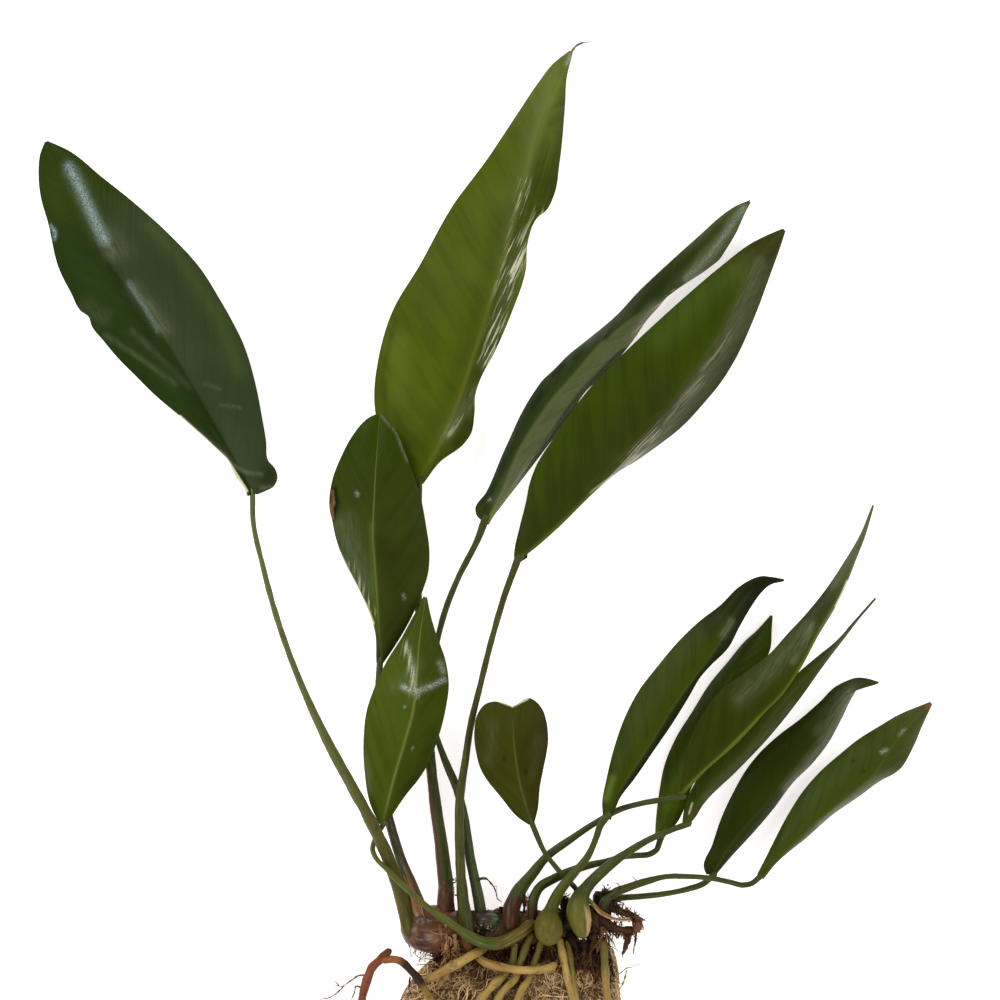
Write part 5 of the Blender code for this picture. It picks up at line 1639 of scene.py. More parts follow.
BLADES = (
    Blade(
        "1",
        rib=((-69.8, 23.4), (-79.8, 41.7), (-96, 69), (-115.2, 96.3), (-124.5, 115), (-132, 129)),
        left=((-71.3, 22.4), (-72.5, 25), (-75, 28.5), (-77.5, 33.5), (-80, 36), (-90, 45),
              (-100, 53.5), (-105, 58.5), (-110, 63.5), (-115, 69.4), (-118.2, 73.4),
              (-119.2, 76.3), (-121.5, 78), (-124.5, 83.5), (-127.8, 90), (-131.5, 105),
              (-133.5, 112), (-134.2, 119), (-133.7, 125), (-132.1, 129.2)),
        right=((-68.5, 23), (-66, 24), (-63.6, 25.3), (-62.4, 28), (-63.2, 30.8), (-65.1, 33),
               (-65.8, 39), (-67, 46), (-68.5, 54), (-73, 69), (-76, 75), (-80, 82), (-85, 90), (-95, 101),
               (-105, 110), (-115, 118), (-125, 126), (-131.9, 129.2)),
        rib_heights=(11, 10, 10.4, 10.2, 8.8, 5.5, 1.6),
        left_heights=(10.6, 7, 4.8, 3.2, 2, 1.2, 0.8, 0.6, 1.3),
        right_heights=(11, 12.4, 13.6, 14.3, 15, 14, 11.5, 8, 4.5, 1.7),
        finish=LeafFinish(paint(37, 53, 16), paint(52, 62, 38), paint(46, 60, 18),
                          paint(34, 48, 16), rib_show=0.3, vein_show=0.1, tip_from=0.7,
                          tip_to=0.84, glint=paint(150, 176, 176)),
        bow=(0.8, 0.8),
        strokes=(
            Stroke(Mark.GLINT, ((-125, 121.2), (-121, 113.6), (-117.6, 106), (-114.2, 99)), 1.5,
                   0.8),
            Stroke(Mark.SHEEN, ((-124, 119), (-117, 104), (-112.6, 95)), 2.4, 0.55),
            Stroke(Mark.SHEEN, ((-112, 101), (-108, 96)), 3.4, 0.25),
            Stroke(Mark.SHEEN, ((-105.6, 85), (-101, 79), (-96.5, 72.4)), 2.2, 0.5),
            Stroke(Mark.GLINT, ((-107, 86.4), (-102, 78.6), (-98.4, 72)), 0.7, 0.35),
            Stroke(Mark.SHEEN, ((-114, 70.6), (-104, 64), (-93, 56)), 0.9, 0.3),
            Stroke(Mark.SHEEN, ((-106, 72), (-97, 63.6), (-89, 55)), 0.9, 0.25),
            Stroke(Mark.SHEEN, ((-119, 79), (-115, 76)), 2.6, 0.2),
            Stroke(Mark.FRESH, ((-100, 103), (-92, 94), (-80, 76), (-74, 60)), 2.4, 0.1),
            Stroke(Mark.DARK, ((-116, 96), (-106, 80), (-90, 55), (-80, 40)), 2.2, 0.3),
            Stroke(Mark.GLINT, ((-130.4, 103.4), (-129.2, 101.6), (-129.4, 99.8)), 0.6, 0.9),
            Stroke(Mark.WRINKLE_GLARE, ((-92, 45.6), (-84, 38.8), (-77.3, 33)), 0.7, 0.8),
            Stroke(Mark.PALE, ((-91.8, 46.4), (-84, 39.4), (-77.5, 33.2), (-71.6, 24)), 0.6, 0.8),
            Stroke(Mark.SHEEN, ((-76, 32), (-72, 29.6), (-67, 29)), 0.6, 0.6),
            Stroke(Mark.SHEEN, ((-84.5, 56), (-79.5, 54.6)), 0.5, 0.3),
            Stroke(Mark.SHEEN, ((-79.4, 49.8), (-73.6, 49)), 0.5, 0.35),
            Stroke(Mark.DARK, ((-65.6, 27), (-64.8, 29.6)), 2.2, 0.45),
            Stroke(Mark.SHEEN, ((-67, 25), (-64.4, 25.2)), 0.7, 0.7),
        ),
    ),
    Blade(
        "2",
        rib=((-20, 26.5), (-11.5, 43), (-2, 69.6), (3.8, 88.8), (9.5, 108), (17.2, 136.6),
             (25.8, 156.2)),
        left=((-21.2, 26.8), (-27, 33), (-32, 42), (-33.4, 50), (-32, 65), (-28, 78), (-20, 91.5),
              (-10, 109.5), (0, 123), (10, 138), (15, 145.5), (20, 152), (25.4, 156.4)),
        right=((-18.8, 26.2), (-14, 32.5), (-6.5, 38.3), (-4.6, 41), (-3.5, 47), (-3.2, 53),
               (-1.5, 58), (2, 64.5), (7.5, 77), (12, 91), (12.4, 98), (15.5, 106), (18, 108),
               (20.5, 113), (22, 122), (23.7, 140), (24.2, 148), (26.2, 156)),
        rib_heights=(9.4, 10, 10.6, 10, 8.6, 5.8, 1.5),
        left_heights=(9.3, 4, 1.1, 0.8, 0.7, 0.7, 0.9, 1.2, 1.4),
        right_heights=(9.3, 8.9, 7.6, 7.6, 7.2, 6.6, 7.4, 5.8, 4.4, 1.5),
        finish=LeafFinish(paint(74, 86, 18), paint(64, 74, 16), paint(92, 102, 44),
                          paint(92, 98, 40), rib_width=0.5, rib_show=0.7, vein_show=0.2,
                          vein_gap=8.0, vein_lean=0.9, tip_from=0.7, slant=-0.12),
        strokes=(
            Stroke(Mark.DARK, ((-17, 40), (-6, 66), (0, 88), (6, 108)), 3.0, 0.2),
            Stroke(Mark.DARK, ((-30, 46), (-31, 60), (-27, 76)), 1.0, 0.25),
            Stroke(Mark.FRESH, ((-27, 52), (-26, 68)), 4.0, 0.15),
            Stroke(Mark.FRESH, ((11.6, 116), (17, 136), (21, 147)), 1.4, 0.25),
            Stroke(Mark.WRINKLE_GLARE, ((11.8, 117), (10.2, 107), (7.2, 97)), 1.3, 0.8),
            Stroke(Mark.WRINKLE_GLARE, ((17, 107), (14.6, 102.4), (10.1, 94.2), (6.6, 87.3),
                                  (4.4, 78.4), (2.4, 68.5), (0.4, 63)), 1.9, 1.3),
            Stroke(Mark.WRINKLE_GLARE, ((7.6, 95), (4.4, 84)), 1.3, 0.7),
            Stroke(Mark.SHEEN, ((13.6, 101), (8, 90), (4.4, 78), (0, 62)), 2.0, 0.4),
            Stroke(Mark.WRINKLE_GLARE, ((-4.4, 52), (-7, 47), (-11, 41)), 1.0, 0.35),
            Stroke(Mark.SHEEN, ((-3, 55), (-6.6, 49), (-12, 40)), 1.8, 0.5),
            Stroke(Mark.SHEEN, ((4, 92), (8, 106), (13, 124), (18, 142)), 2.5, 0.15),
            Stroke(Mark.FRESH, ((12.6, 97), (9.6, 83), (5, 72)), 1.6, 0.3),
            Stroke(Mark.DARK, ((-5, 44), (-9, 38.4)), 2.2, 0.4),
            Stroke(Mark.DARK, ((20, 112), (22.6, 128), (23.6, 142)), 1.6, 0.25),
            Stroke(Mark.GLINT, ((24.2, 152), (26, 156.5)), 0.6, 0.6),
        ),
        pleats=(Pleat(((21, 130), (17, 116), (12.5, 100)), 1.4, 0.8),
                Pleat(((18, 128), (13, 112), (9, 98)), 1.2, -0.7),
                Pleat(((-3, 54), (-8, 45)), 1.8, -0.8)),
        dry_tip=((25.2, 155.2, 1.5), (27.2, 157.6, 1.3), (29.4, 158.5, 1.0), (31.2, 158.7, 0.7)),
    ),
    Blade(
        "3",
        rib=((-31.8, -27.5), (-32.3, -13), (-33.3, 3), (-33.8, 10), (-33.5, 20), (-33, 30),
             (-31.8, 46.8)),
        left=((-32.8, -27.2), (-33.2, -18), (-35.5, -11), (-38, -5.5), (-43.5, 5.5), (-45.2, 11),
              (-46, 15), (-46.8, 18.5), (-46.3, 26), (-43, 35), (-40, 40.5), (-35, 46),
              (-32.4, 47.2)),
        right=((-30.8, -27.6), (-27, -22), (-24, -17), (-21, -11), (-19, -6), (-17.4, -1),
               (-16.9, 5), (-18, 14), (-20, 24), (-24, 35), (-26.5, 41), (-29, 45),
               (-31.2, 47.2)),
        rib_heights=(13.8, 16.2, 18, 18.4, 17.4, 15.2, 12.6),
        left_heights=(13.6, 14.8, 15, 13.6, 12.2, 12, 12.2, 12.6),
        right_heights=(13.8, 15.2, 16, 16, 15.7, 15.2, 14.2, 12.6),
        finish=LeafFinish(paint(54, 65, 20), paint(54, 61, 22), paint(50, 64, 12),
                          paint(104, 110, 56), rib_width=0.24, rib_show=0.6, vein_show=0.2,
                          vein_gap=7.0, vein_lean=1.4, tip_from=0.55),
        strokes=(
            Stroke(Mark.SHEEN, ((-31.5, 46.8), (-26.6, 41), (-23.6, 33)), 0.5, 0.9),
            Stroke(Mark.PALE, ((-44.6, 7), (-41.4, 0.4), (-38.6, -5), (-35.8, -10.6),
                               (-33.8, -15.6)), 0.6, 0.9),
            Stroke(Mark.WRINKLE_GLARE, ((-40.4, 2), (-36.6, -6), (-33.8, -12.4)), 0.9, 0.5),
            Stroke(Mark.BROWN, ((-45.9, 24), (-45.6, 20)), 0.5, 0.9),
            Stroke(Mark.BROWN, ((-46.5, 19.4), (-46.2, 16)), 0.8, 1.0),
            Stroke(Mark.DARK, ((-45.2, 24.6), (-44.6, 20), (-46, 15.6)), 0.8, 0.9),
            Stroke(Mark.GLINT, ((-38.8, 23.4), (-38.4, 22.8)), 0.5, 0.7),
            Stroke(Mark.GLINT, ((-24.8, -7), (-24.4, -8.2)), 0.5, 0.4),
            Stroke(Mark.SHEEN, ((-44, 14), (-41, 5), (-37.6, -4)), 2.4, 0.35),
            Stroke(Mark.SHEEN, ((-41, 16), (-38, 6), (-35.4, -6)), 2.6, 0.25),
            Stroke(Mark.FRESH, ((-34.4, 14), (-34, -2), (-32.8, -18)), 0.9, 0.15),
            Stroke(Mark.DARK, ((-31, 8), (-26, -6), (-29, -20)), 3.0, 0.2),
        ),
    ),
    Blade(
        "4",
        rib=((-31, -75.8), (-27, -60), (-24, -50), (-21.8, -42), (-21, -36), (-20.5, -30),
             (-20, -22), (-18.1, -7.6)),
        left=((-32, -75.4), (-34.5, -70), (-36.3, -60), (-36.6, -50), (-35.5, -41), (-34, -36.5),
              (-30, -27.5), (-25, -19.5), (-22, -14), (-20, -10.5), (-18.6, -7.4)),
        right=((-30, -76), (-24, -67), (-20, -62), (-17.5, -58), (-15, -52), (-12, -41),
               (-11.1, -34), (-12, -27), (-15, -18.5), (-16.6, -13), (-17.7, -7.6)),
        rib_heights=(16.8, 17.8, 19.2, 21, 22.8, 21.4, 18.6),
        left_heights=(16.8, 17.2, 18, 19, 20, 19.4, 18.6),
        right_heights=(16.8, 17.2, 18.2, 20, 21.8, 20.8, 19.2, 18.4),
        finish=LeafFinish(paint(70, 82, 24), paint(58, 68, 18), paint(64, 74, 26),
                          paint(112, 118, 58), rib_width=0.3, rib_show=0.7, vein_show=0.2,
                          vein_gap=6.0),
        strokes=(
            Stroke(Mark.GLINT, ((-23.6, -22.5), (-22, -29), (-21.2, -35.6)), 0.7, 0.55),
            Stroke(Mark.GLINT, ((-24.6, -34.6), (-23, -35.4)), 0.8, 0.9),
            Stroke(Mark.GLINT, ((-21.4, -36.4), (-17, -34.6), (-12.4, -32.4)), 0.8, 0.6),
            Stroke(Mark.GLINT, ((-13.6, -27.6), (-12.8, -30)), 0.9, 0.45),
            Stroke(Mark.SHEEN, ((-27, -34), (-23, -31), (-20.4, -28)), 2.0, 0.3),
            Stroke(Mark.WRINKLE_GLARE, ((-24.4, -22), (-22, -30), (-21, -38)), 1.3, 0.5),
            Stroke(Mark.SHEEN, ((-36, -56), (-35, -66)), 1.0, 0.4),
            Stroke(Mark.GLINT, ((-24.2, -40.4),), 0.4, 0.6),
            Stroke(Mark.GLINT, ((-22, -53),), 0.4, 0.6),
            Stroke(Mark.DARK, ((-15.6, -48), (-19, -58), (-24, -66)), 1.8, 0.3),
        ),
        pleats=(Pleat(((-27, -36), (-21, -36), (-11.5, -32.5)), 1.6, 0.7),
                Pleat(((-26, -33), (-20.5, -32.6), (-12, -28.8)), 1.6, -0.6)),
    ),
    Blade(
        "5",
        rib=((-0.2, 15.2), (2.6, 19.5), (5, 25), (10, 37), (15, 45), (20, 52), (25, 57.5),
             (35, 69), (45, 76.5), (53, 81.5), (60, 87.5), (65, 97), (70, 102), (79, 111)),
        left=((-1.3, 15.2), (-2.6, 16.4), (-3.2, 18.4), (0, 23.5), (5, 35), (7.5, 40.5),
              (10, 46), (15, 54.5), (17, 57.2), (20, 60), (25, 65), (30, 69), (40, 77.5),
              (45, 83), (55, 92.5), (65, 101.5), (70, 106), (75, 109.5), (79.6, 111.4)),
        right=((0.8, 13.8), (2, 16), (5, 20), (15, 33), (25, 46.5), (30, 54), (35, 58.5),
               (40, 64), (45, 70.5), (48, 75), (52, 79.5), (55, 83), (60, 86.3), (67, 91),
               (70, 93.5), (72, 96.5), (75, 101.5), (77.5, 107), (79.6, 111)),
        rib_heights=(14, 14.5, 14.5, 13.5, 12, 10.5, 8.5, 4),
        left_heights=(13.8, 10.8, 8.8, 7.4, 6.4, 5.5, 4.6, 3.8, 3.6),
        right_heights=(13.6, 10.5, 8.5, 7, 6.2, 5.8, 5.3, 4.5, 3.8),
        finish=LeafFinish(paint(46, 58, 26), paint(84, 92, 56), paint(60, 70, 24),
                          paint(62, 74, 34), rib_width=0.25, rib_show=0.35, vein_show=0.35,
                          vein_gap=6.0, vein_lean=1.5),
        strokes=(
            Stroke(Mark.SHEEN, ((4, 20), (17, 37), (30, 54.6), (40, 65), (50, 78)), 2.2, 0.75),
            Stroke(Mark.SHEEN, ((6, 26), (16, 42), (26, 55), (38, 68), (52, 79.6)), 1.8, 0.3),
            Stroke(Mark.WRINKLE_GLARE, ((8, 24), (20, 41), (32, 56), (44, 69), (55, 82)), 1.2, 0.28),
            Stroke(Mark.GLINT, ((77.4, 109), (72, 101.5), (67, 94.5), (60, 87.5)), 1.0, 0.3),
            Stroke(Mark.SHEEN, ((77, 108), (70, 98), (62, 88)), 2.2, 0.8),
            Stroke(Mark.WRINKLE_GLARE, ((42, 66.6), (48, 74.8), (56, 83.4)), 0.8, 0.9),
            Stroke(Mark.FRESH, ((0.4, 14.6), (3, 18.6), (8, 25)), 0.8, 0.6),
            Stroke(Mark.GLINT, ((1, 21.4),), 0.5, 0.8),
            Stroke(Mark.DARK, ((0, 20), (8, 39), (16, 55)), 1.4, 0.3),
            Stroke(Mark.DARK, ((20, 58.6), (23, 61.8)), 0.9, 0.6),
            Stroke(Mark.DARK, ((27, 64), (29.6, 67.2)), 0.9, 0.6),
            Stroke(Mark.DARK, ((36, 70), (38.6, 74)), 0.9, 0.6),
            Stroke(Mark.DARK, ((14, 49), (17, 53.6)), 0.9, 0.5),
            Stroke(Mark.DARK, ((45, 78), (58, 91), (70, 103)), 1.6, 0.35),
        ),
    ),
    Blade(
        "6",
        rib=((9.6, 3.4), (12, 5), (20, 11.7), (30, 21.6), (40, 32), (50, 44), (60, 57),
             (70, 70.5), (75, 80), (80, 90.5), (84, 97), (89.6, 102.5)),
        left=((8.4, 4.2), (8.5, 6), (10, 13), (12, 21), (13, 26), (15, 31.5), (20, 39.5),
              (30, 53.5), (40, 64), (50, 73.5), (60, 82.5), (70, 91), (80, 98.5), (85, 101),
              (89.5, 102.9)),
        right=((10.6, 3.2), (17, 10.4), (25, 18.4), (33.5, 24.6), (40, 30), (45, 33), (50, 36.5),
               (60, 44.5), (65, 50), (70, 56), (75, 64), (80, 75), (82, 80), (84, 85.5),
               (86, 91), (88, 96.5), (90, 102.5)),
        rib_heights=(15, 15.3, 14.8, 13.4, 11.8, 10.2, 8.2, 4),
        left_heights=(14.8, 14, 12.8, 11.6, 10.2, 8.8, 7, 5, 4),
        right_heights=(14.4, 9, 5.5, 3, 1.8, 1.3, 1.4, 1.9, 2.5, 3.8),
        finish=LeafFinish(paint(54, 67, 12), paint(60, 65, 30), paint(58, 60, 26),
                          paint(72, 76, 34), rib_width=0.3, rib_show=0.3, vein_show=0.28,
                          vein_gap=7.0, vein_lean=1.1, tip_from=0.8),
        strokes=(
            Stroke(Mark.SHEEN, ((36, 24.6), (44, 32), (54, 43), (63.6, 56), (72, 69), (78, 82),
                                (82, 92)), 2.6, 0.5),
            Stroke(Mark.WRINKLE_GLARE, ((33, 23), (38, 27.4), (45, 34.6), (53, 44)), 1.6, 0.9),
            Stroke(Mark.WRINKLE_GLARE, ((53, 44), (64, 57), (73, 71)), 1.2, 0.25),
            Stroke(Mark.PALE, ((33.2, 23.8), (36.4, 26.8), (38.4, 28.4)), 0.7, 0.8),
            Stroke(Mark.FRESH, ((9.8, 3.4), (15, 7.4), (24, 15.6), (32, 23.4)), 0.7, 0.45),
            Stroke(Mark.FRESH, ((52, 70), (64, 82), (74, 90)), 5.0, 0.12),
            Stroke(Mark.DARK, ((56, 40.4), (68, 52.6), (78, 69)), 1.6, 0.35),
            Stroke(Mark.DUSK, ((12, 10), (24, 24), (40, 40), (52, 54)), 7.0, 0.35),
        ),
    ),
    Blade(
        "7",
        rib=((13.6, -75.2), (12, -70), (10.5, -65), (8.8, -55), (8.1, -47), (7.8, -40.5)),
        left=((12.8, -75.8), (10.3, -74.2), (4, -67), (0, -62), (-1.2, -60), (-3, -54),
              (-3.5, -48), (-3, -44), (-1.5, -41), (0, -39.6), (2, -39), (5, -39.3), (7.4, -40.3)),
        right=((14.5, -75), (15.4, -71.5), (16.2, -64), (17.2, -59), (18.6, -50), (18, -44.5),
               (17, -41.5), (15, -39), (13, -37.9), (11.5, -38.2), (10, -39.3), (8.2, -40.4)),
        rib_heights=(16.5, 18, 19.5, 20, 19),
        left_heights=(16.4, 17.2, 18.2, 18.6, 18.6, 18.6, 18.8, 18.9),
        right_heights=(16.4, 17, 17.5, 17.5, 17.6, 18, 18.5, 18.9),
        finish=LeafFinish(paint(60, 61, 19), paint(56, 54, 18), paint(62, 63, 24),
                          paint(88, 92, 44), rib_width=0.26, rib_show=0.6, vein_show=0.2,
                          vein_gap=5.0, vein_lean=1.2),
        strokes=(
            Stroke(Mark.PALE, ((4, -38.8), (8, -40.2), (12.4, -38)), 0.6, 0.9),
            Stroke(Mark.DARK, ((5.5, -56),), 0.7, 0.7),
            Stroke(Mark.DARK, ((12, -60),), 0.6, 0.6),
            Stroke(Mark.SHEEN, ((14, -62), (15.4, -50)), 1.4, 0.12),
            Stroke(Mark.SHEEN, ((1, -56), (2, -46)), 1.8, 0.2),
        ),
    ),
    Blade(
        "8",
        rib=((36.3, -74), (39, -68), (49, -52), (60, -35), (67, -26), (72, -18), (76, -10),
             (83, -3), (89.6, -2.7)),
        left=((35, -73.4), (34.8, -69), (36, -62.5), (38.2, -53.5), (41.5, -44), (46, -35.5),
              (51, -29), (58.5, -20.2), (64, -15), (70, -10.4), (76, -4.6), (78.5, -3),
              (83, -1.5), (85, -1.7), (89.4, -2.4)),
        right=((37, -74), (40, -68), (44.5, -62), (50, -54), (55.5, -46), (60.5, -38),
               (64.5, -31.3), (67, -28.5), (72.5, -23), (76, -16.5), (80, -9.8), (82, -7),
               (85, -4.2), (89.6, -3)),
        rib_heights=(16, 16, 15.2, 14, 12.6, 11, 9, 6),
        left_heights=(15.8, 14.4, 12.2, 10.4, 9.2, 8.4, 8, 7.6, 6),
        right_heights=(15.8, 15, 14.2, 13, 11.8, 10.8, 9.3, 6),
        finish=LeafFinish(paint(56, 66, 16), paint(38, 43, 18), paint(38, 42, 24),
                          paint(70, 80, 34), rib_width=0.35, rib_show=0.4, vein_show=0.3,
                          vein_gap=7.0, vein_lean=1.3),
        strokes=(
            Stroke(Mark.SHEEN, ((71, -19), (73.4, -15)), 1.2, 0.6),
            Stroke(Mark.DARK, ((66, -16), (76, -7), (84, -2.6)), 3.0, 0.4),
            Stroke(Mark.FRESH, ((36, -68), (38, -62)), 1.2, 0.4),
        ),
    ),
    Blade(
        "9",
        rib=((51.8, -80.6), (57, -66), (64, -50), (72, -35), (80, -22), (85.7, -13.2)),
        left=((50.6, -80.2), (51, -74), (52, -66), (53.6, -58), (57, -50), (62, -42), (67, -34),
              (72.5, -27.3), (78, -20.7), (81, -18), (85.6, -13)),
        right=((52.9, -80.4), (57.5, -75), (62, -64), (68, -53), (75, -41), (82, -30),
               (85.3, -23), (85.7, -17), (86, -13.2)),
        rib_heights=(8.2, 7.4, 6.7, 6, 5, 3),
        left_heights=(8, 5, 2.8, 1.6, 1.1, 1.5, 2.8),
        right_heights=(8.1, 7.2, 6.8, 6.2, 5.8, 5.2, 3),
        finish=LeafFinish(paint(68, 81, 24), paint(58, 72, 16), paint(58, 72, 16),
                          paint(60, 72, 26), rib_show=0.4, vein_show=0.25, vein_gap=5.0),
        bow=(0.6, 0.3),
    ),
    Blade(
        "10",
        rib=((58, -67), (65, -60), (75, -51.3), (84, -41.5), (88, -37.5), (92, -32), (96, -25),
             (100, -17), (105, -8.5), (111.5, 7), (116, 20)),
        left=((57.2, -66.4), (58.8, -60.6), (59.7, -55), (63.6, -45), (69.6, -36.5), (78, -30),
              (85.3, -24.3), (90, -19), (96, -12.5), (102, -5), (107, 2.5), (112, 11),
              (115.8, 20.2)),
        right=((58.6, -67.6), (65, -60.4), (74, -52), (83, -42), (93.3, -30.2), (99, -20),
               (105, -10), (107, -6), (111, 4), (113, 9), (116.3, 20)),
        rib_heights=(14.2, 16, 17.4, 18, 17.6, 16.5, 15, 12.5),
        left_heights=(14.2, 14.8, 15.2, 15.5, 15.5, 15.2, 14, 12.5),
        right_heights=(13.8, 13.6, 14, 13.6, 13.4, 13.2, 13, 12.4),
        finish=LeafFinish(paint(52, 58, 16), paint(58, 65, 26), paint(84, 88, 62),
                          paint(88, 102, 34), rib_width=0.4, rib_show=0.8, vein_show=0.2,
                          vein_gap=7.0, tip_from=0.55),
        bow=(0.6, 0.3),
        strokes=(
            Stroke(Mark.PALE, ((104.6, -10.4), (106.4, -7), (108, -3)), 0.4, 0.8),
            Stroke(Mark.SHEEN, ((104, -4), (110, 6), (114, 14)), 1.4, 0.5),
            Stroke(Mark.SHEEN, ((76, -38), (86, -29), (96, -17)), 2.6, 0.4),
            Stroke(Mark.FRESH, ((60, -65), (70, -55.6), (82, -43.6)), 0.5, 0.5),
            Stroke(Mark.SHEEN, ((92, -27), (96, -20), (97.4, -16)), 1.2, 0.5),
        ),
    ),
    Blade(
        "11",
        rib=((59.6, -75.7), (66, -66), (78, -53.5), (90, -38), (102, -25), (108, -18),
             (117, -8)),
        left=((58.8, -75), (59.4, -71), (61.2, -66), (66, -58.6), (75, -49.6), (85, -39), (94, -30),
              (100, -25),
              (105, -21), (112, -13.2), (116.8, -7.7)),
        right=((60.4, -76.2), (62, -74.6), (65, -70), (75, -60), (85, -49.5), (90, -43.5),
               (95, -37), (100, -30), (104.5, -24), (107.4, -20.3), (112, -14.2), (117.2, -8.1)),
        rib_heights=(10, 10.3, 9.6, 8.6, 6.4, 3),
        left_heights=(10, 9.8, 9.4, 8.8, 7.4, 5, 3),
        right_heights=(9.9, 9, 7.8, 6.4, 5, 3.8, 2.9),
        finish=LeafFinish(paint(60, 68, 24), paint(66, 70, 34), paint(84, 78, 60),
                          paint(80, 90, 40), rib_show=0.3, vein_show=0.3, vein_gap=5.0),
        bow=(0.3, 0.4),
        strokes=(
            Stroke(Mark.SHEEN, ((66, -68), (78, -56), (92, -40)), 1.2, 0.4),
            Stroke(Mark.PALE, ((60.8, -72.6), (61.8, -69.4)), 0.5, 0.6),
            Stroke(Mark.BROWN, ((110, -16), (117, -8)), 1.0, 0.35),
        ),
    ),
    Blade(
        "12",
        rib=((67.4, -91), (72, -83.6), (82, -72), (91, -61.6), (98, -52.6), (103, -45.6),
             (108, -37.4), (118, -33.4)),
        left=((66, -90.8), (65.3, -89), (67.8, -82), (70.5, -74), (74, -66.5), (78, -59.5),
              (82, -54.5), (88, -49), (94, -44.5), (100, -39.3), (105, -34.5), (108, -33),
              (111, -32), (113, -32), (117.8, -33.2)),
        right=((68.5, -91.4), (74, -85), (80, -78.5), (86, -71.5), (92, -63.5), (98, -57.5),
               (103, -51), (106.5, -44.5), (110, -37.5), (112.5, -34), (118, -33.6)),
        rib_heights=(8.5, 8.4, 8, 7.6, 6.8, 5.6, 3),
        left_heights=(8.4, 7.6, 7, 6.4, 5.8, 5.2, 4.6, 3),
        right_heights=(8.4, 5.6, 3.6, 2.4, 2, 2, 2.9),
        finish=LeafFinish(paint(45, 53, 14), paint(50, 56, 24), paint(56, 62, 34),
                          paint(60, 70, 30), rib_width=0.35, rib_show=0.4, vein_show=0.15,
                          vein_gap=5.0),
        bow=(0.8, 0.5),
        strokes=(
            Stroke(Mark.SHEEN, ((90, -65), (99, -54.6), (105, -45.6), (109, -37)), 1.5, 0.9),
            Stroke(Mark.SHEEN, ((100, -48), (106, -40), (110, -35)), 2.2, 0.3),
            Stroke(Mark.DARK, ((70, -80), (80, -64), (94, -50)), 3.0, 0.25),
        ),
    ),
    Blade(
        "13",
        rib=((82.2, -91.6), (86, -87.5), (98, -76), (110, -66), (116, -61), (121, -53.5),
             (127, -46), (133.6, -39.6)),
        left=((81.2, -90.8), (83.5, -86.5), (86.5, -80.5), (90.5, -73), (95, -66), (100, -60.3),
              (106, -55), (112, -50.2), (118, -46.5), (124, -43), (130, -40.5), (133.5, -39.1)),
        right=((83, -91.8), (88, -86.5), (96, -80), (104, -73), (112, -67.5), (119, -62.5),
               (122, -61), (124, -59.5), (128, -53), (131, -46), (134, -39.6)),
        rib_heights=(9.6, 10, 9.6, 8.4, 6.2, 1.6),
        left_heights=(9.4, 8, 6, 4.6, 3.6, 2.6, 1.6),
        right_heights=(9.5, 7, 4.4, 2.2, 1, 0.7, 0.8, 1.5),
        finish=LeafFinish(paint(60, 70, 24), paint(64, 72, 28), paint(70, 76, 34),
                          paint(86, 92, 44), rib_width=0.25, rib_show=0.4, vein_show=0.25,
                          vein_gap=6.0),
        bow=(0.8, 0.6),
        strokes=(
            Stroke(Mark.SHEEN, ((100, -76), (112, -67), (121, -61)), 1.2, 0.4),
            Stroke(Mark.GLINT, ((118.6, -54.2), (119.8, -53.6)), 0.6, 0.6),
            Stroke(Mark.GLINT, ((124, -49), (125.4, -47.6)), 0.5, 0.4),
            Stroke(Mark.DARK, ((110, -57),), 0.6, 0.7),
            Stroke(Mark.DARK, ((113, -60),), 0.5, 0.7),
            Stroke(Mark.BROWN, ((132.4, -40.6), (134, -39)), 0.9, 0.9),
        ),
    ),
)


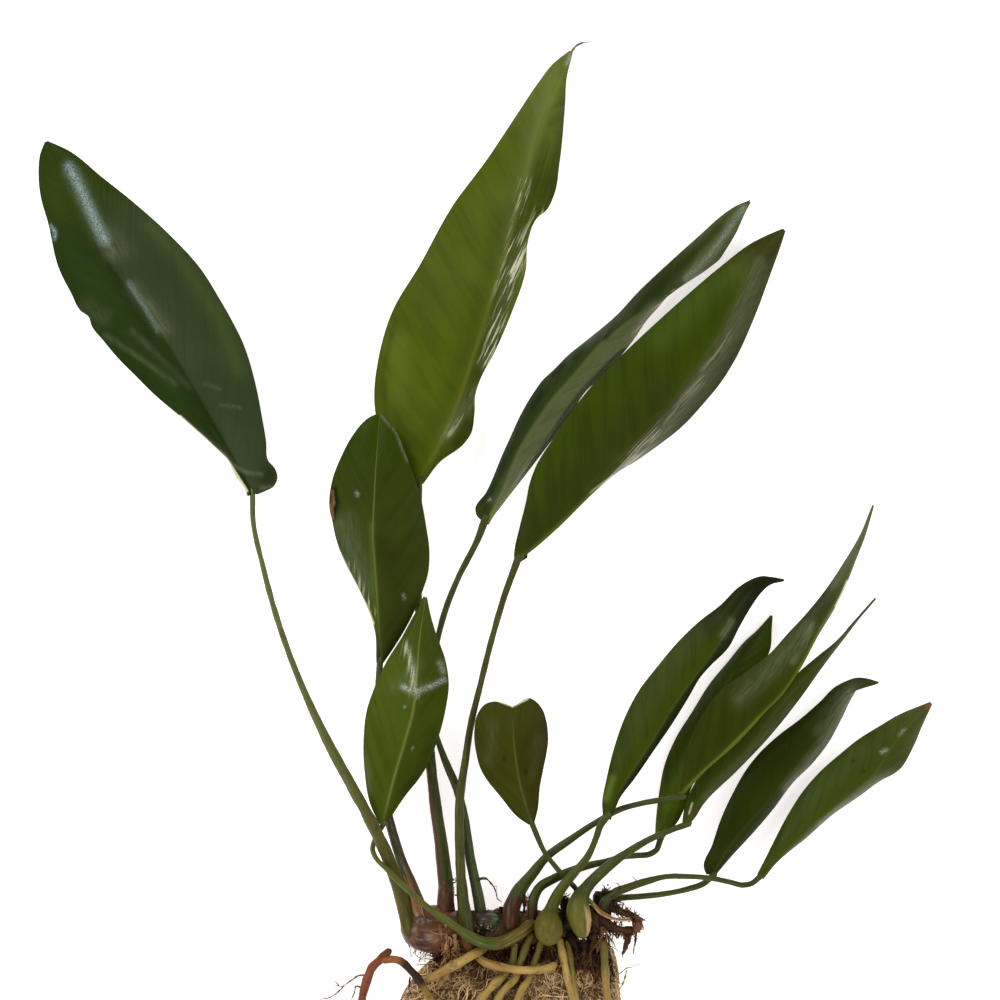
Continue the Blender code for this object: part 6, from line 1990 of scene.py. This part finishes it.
@dataclass(frozen=True)
class Studio:
    """A white table, soft lights around it and a camera straight above it."""

    aim: tuple[float, float] = (4.2, 21.3)
    height: float = 6000.0
    lens: float = 720.0
    floor_size: float = 6.0
    lights: tuple[tuple[float, float, float, float, float], ...] = field(default=(
        (-0.60, 0.75, 0.80, 0.55, 7.5),
        (0.95, 0.20, 0.75, 0.60, 5.5),
        (0.05, -1.00, 0.80, 0.60, 5.0),
        (-1.00, -0.30, 0.75, 0.60, 4.5),
    ))

    def floor(self) -> None:
        """Lay the table top, just under z = 0."""
        half = self.floor_size / 2
        corners = np.array(((-half, -half, 0), (half, -half, 0), (half, half, 0), (-half, half, 0)))
        table = make_piece("table_top", corners / MM, np.array(((0, 1, 2, 3),)), {})
        sheet = NodeSheet("white_table", Specular_IOR_Level=0.2, Emission_Strength=0.68)
        sheet.shader.inputs["Emission Color"].default_value = (1.0, 0.94, 0.925, 1.0)
        cloud = sheet.noise(sheet.solid_place(), 6.0)
        colour = sheet.mix(cloud, paint(240, 240, 240), paint(246, 245, 244))
        table.data.materials.append(sheet.finish(colour, 0.7, cloud, 0.00005))

    def light(self) -> None:
        """Hang square soft lights that aim at the plant, and a faint even sky."""
        for index, (x, y, z, size, power) in enumerate(self.lights):
            lamp = bpy.data.lights.new(f"softbox_{index}", "AREA")
            lamp.size = size
            lamp.energy = power
            holder = bpy.data.objects.new(lamp.name, lamp)
            holder.location = (x, y, z)
            away = holder.location.copy()
            holder.rotation_euler = away.to_track_quat("Z", "Y").to_euler()
            bpy.context.scene.collection.objects.link(holder)
        world = bpy.data.worlds.new("sky")
        world.use_nodes = True
        backdrop = world.node_tree.nodes["Background"]
        backdrop.inputs["Color"].default_value = (0.95, 0.97, 1.0, 1.0)
        backdrop.inputs["Strength"].default_value = 0.3
        bpy.context.scene.world = world

    def camera(self) -> None:
        """Set the camera over the middle of the picture, looking straight down."""
        data = bpy.data.cameras.new("camera")
        data.lens = self.lens
        data.sensor_width = 36.0
        data.clip_end = 20.0
        holder = bpy.data.objects.new("camera", data)
        holder.location = (self.aim[0] * MM, self.aim[1] * MM, self.height * MM)
        bpy.context.scene.collection.objects.link(holder)
        bpy.context.scene.camera = holder

    def set_up(self) -> None:
        """Set up the whole studio, with plain screen colours."""
        self.floor()
        self.light()
        self.camera()
        bpy.context.scene.view_settings.view_transform = "Standard"


def main() -> None:
    """Build and dress each part in order, then the studio."""
    logging.basicConfig(level=logging.INFO, format="%(name)s: %(message)s")
    for part in (*TRUNKS, *BLADES, *STALKS, *ROOTS, *WISPS, *TUFTS, *CRUMBS):
        part.dress()
    Tangle().dress()
    Studio().set_up()


if __name__ == "__main__":
    main()
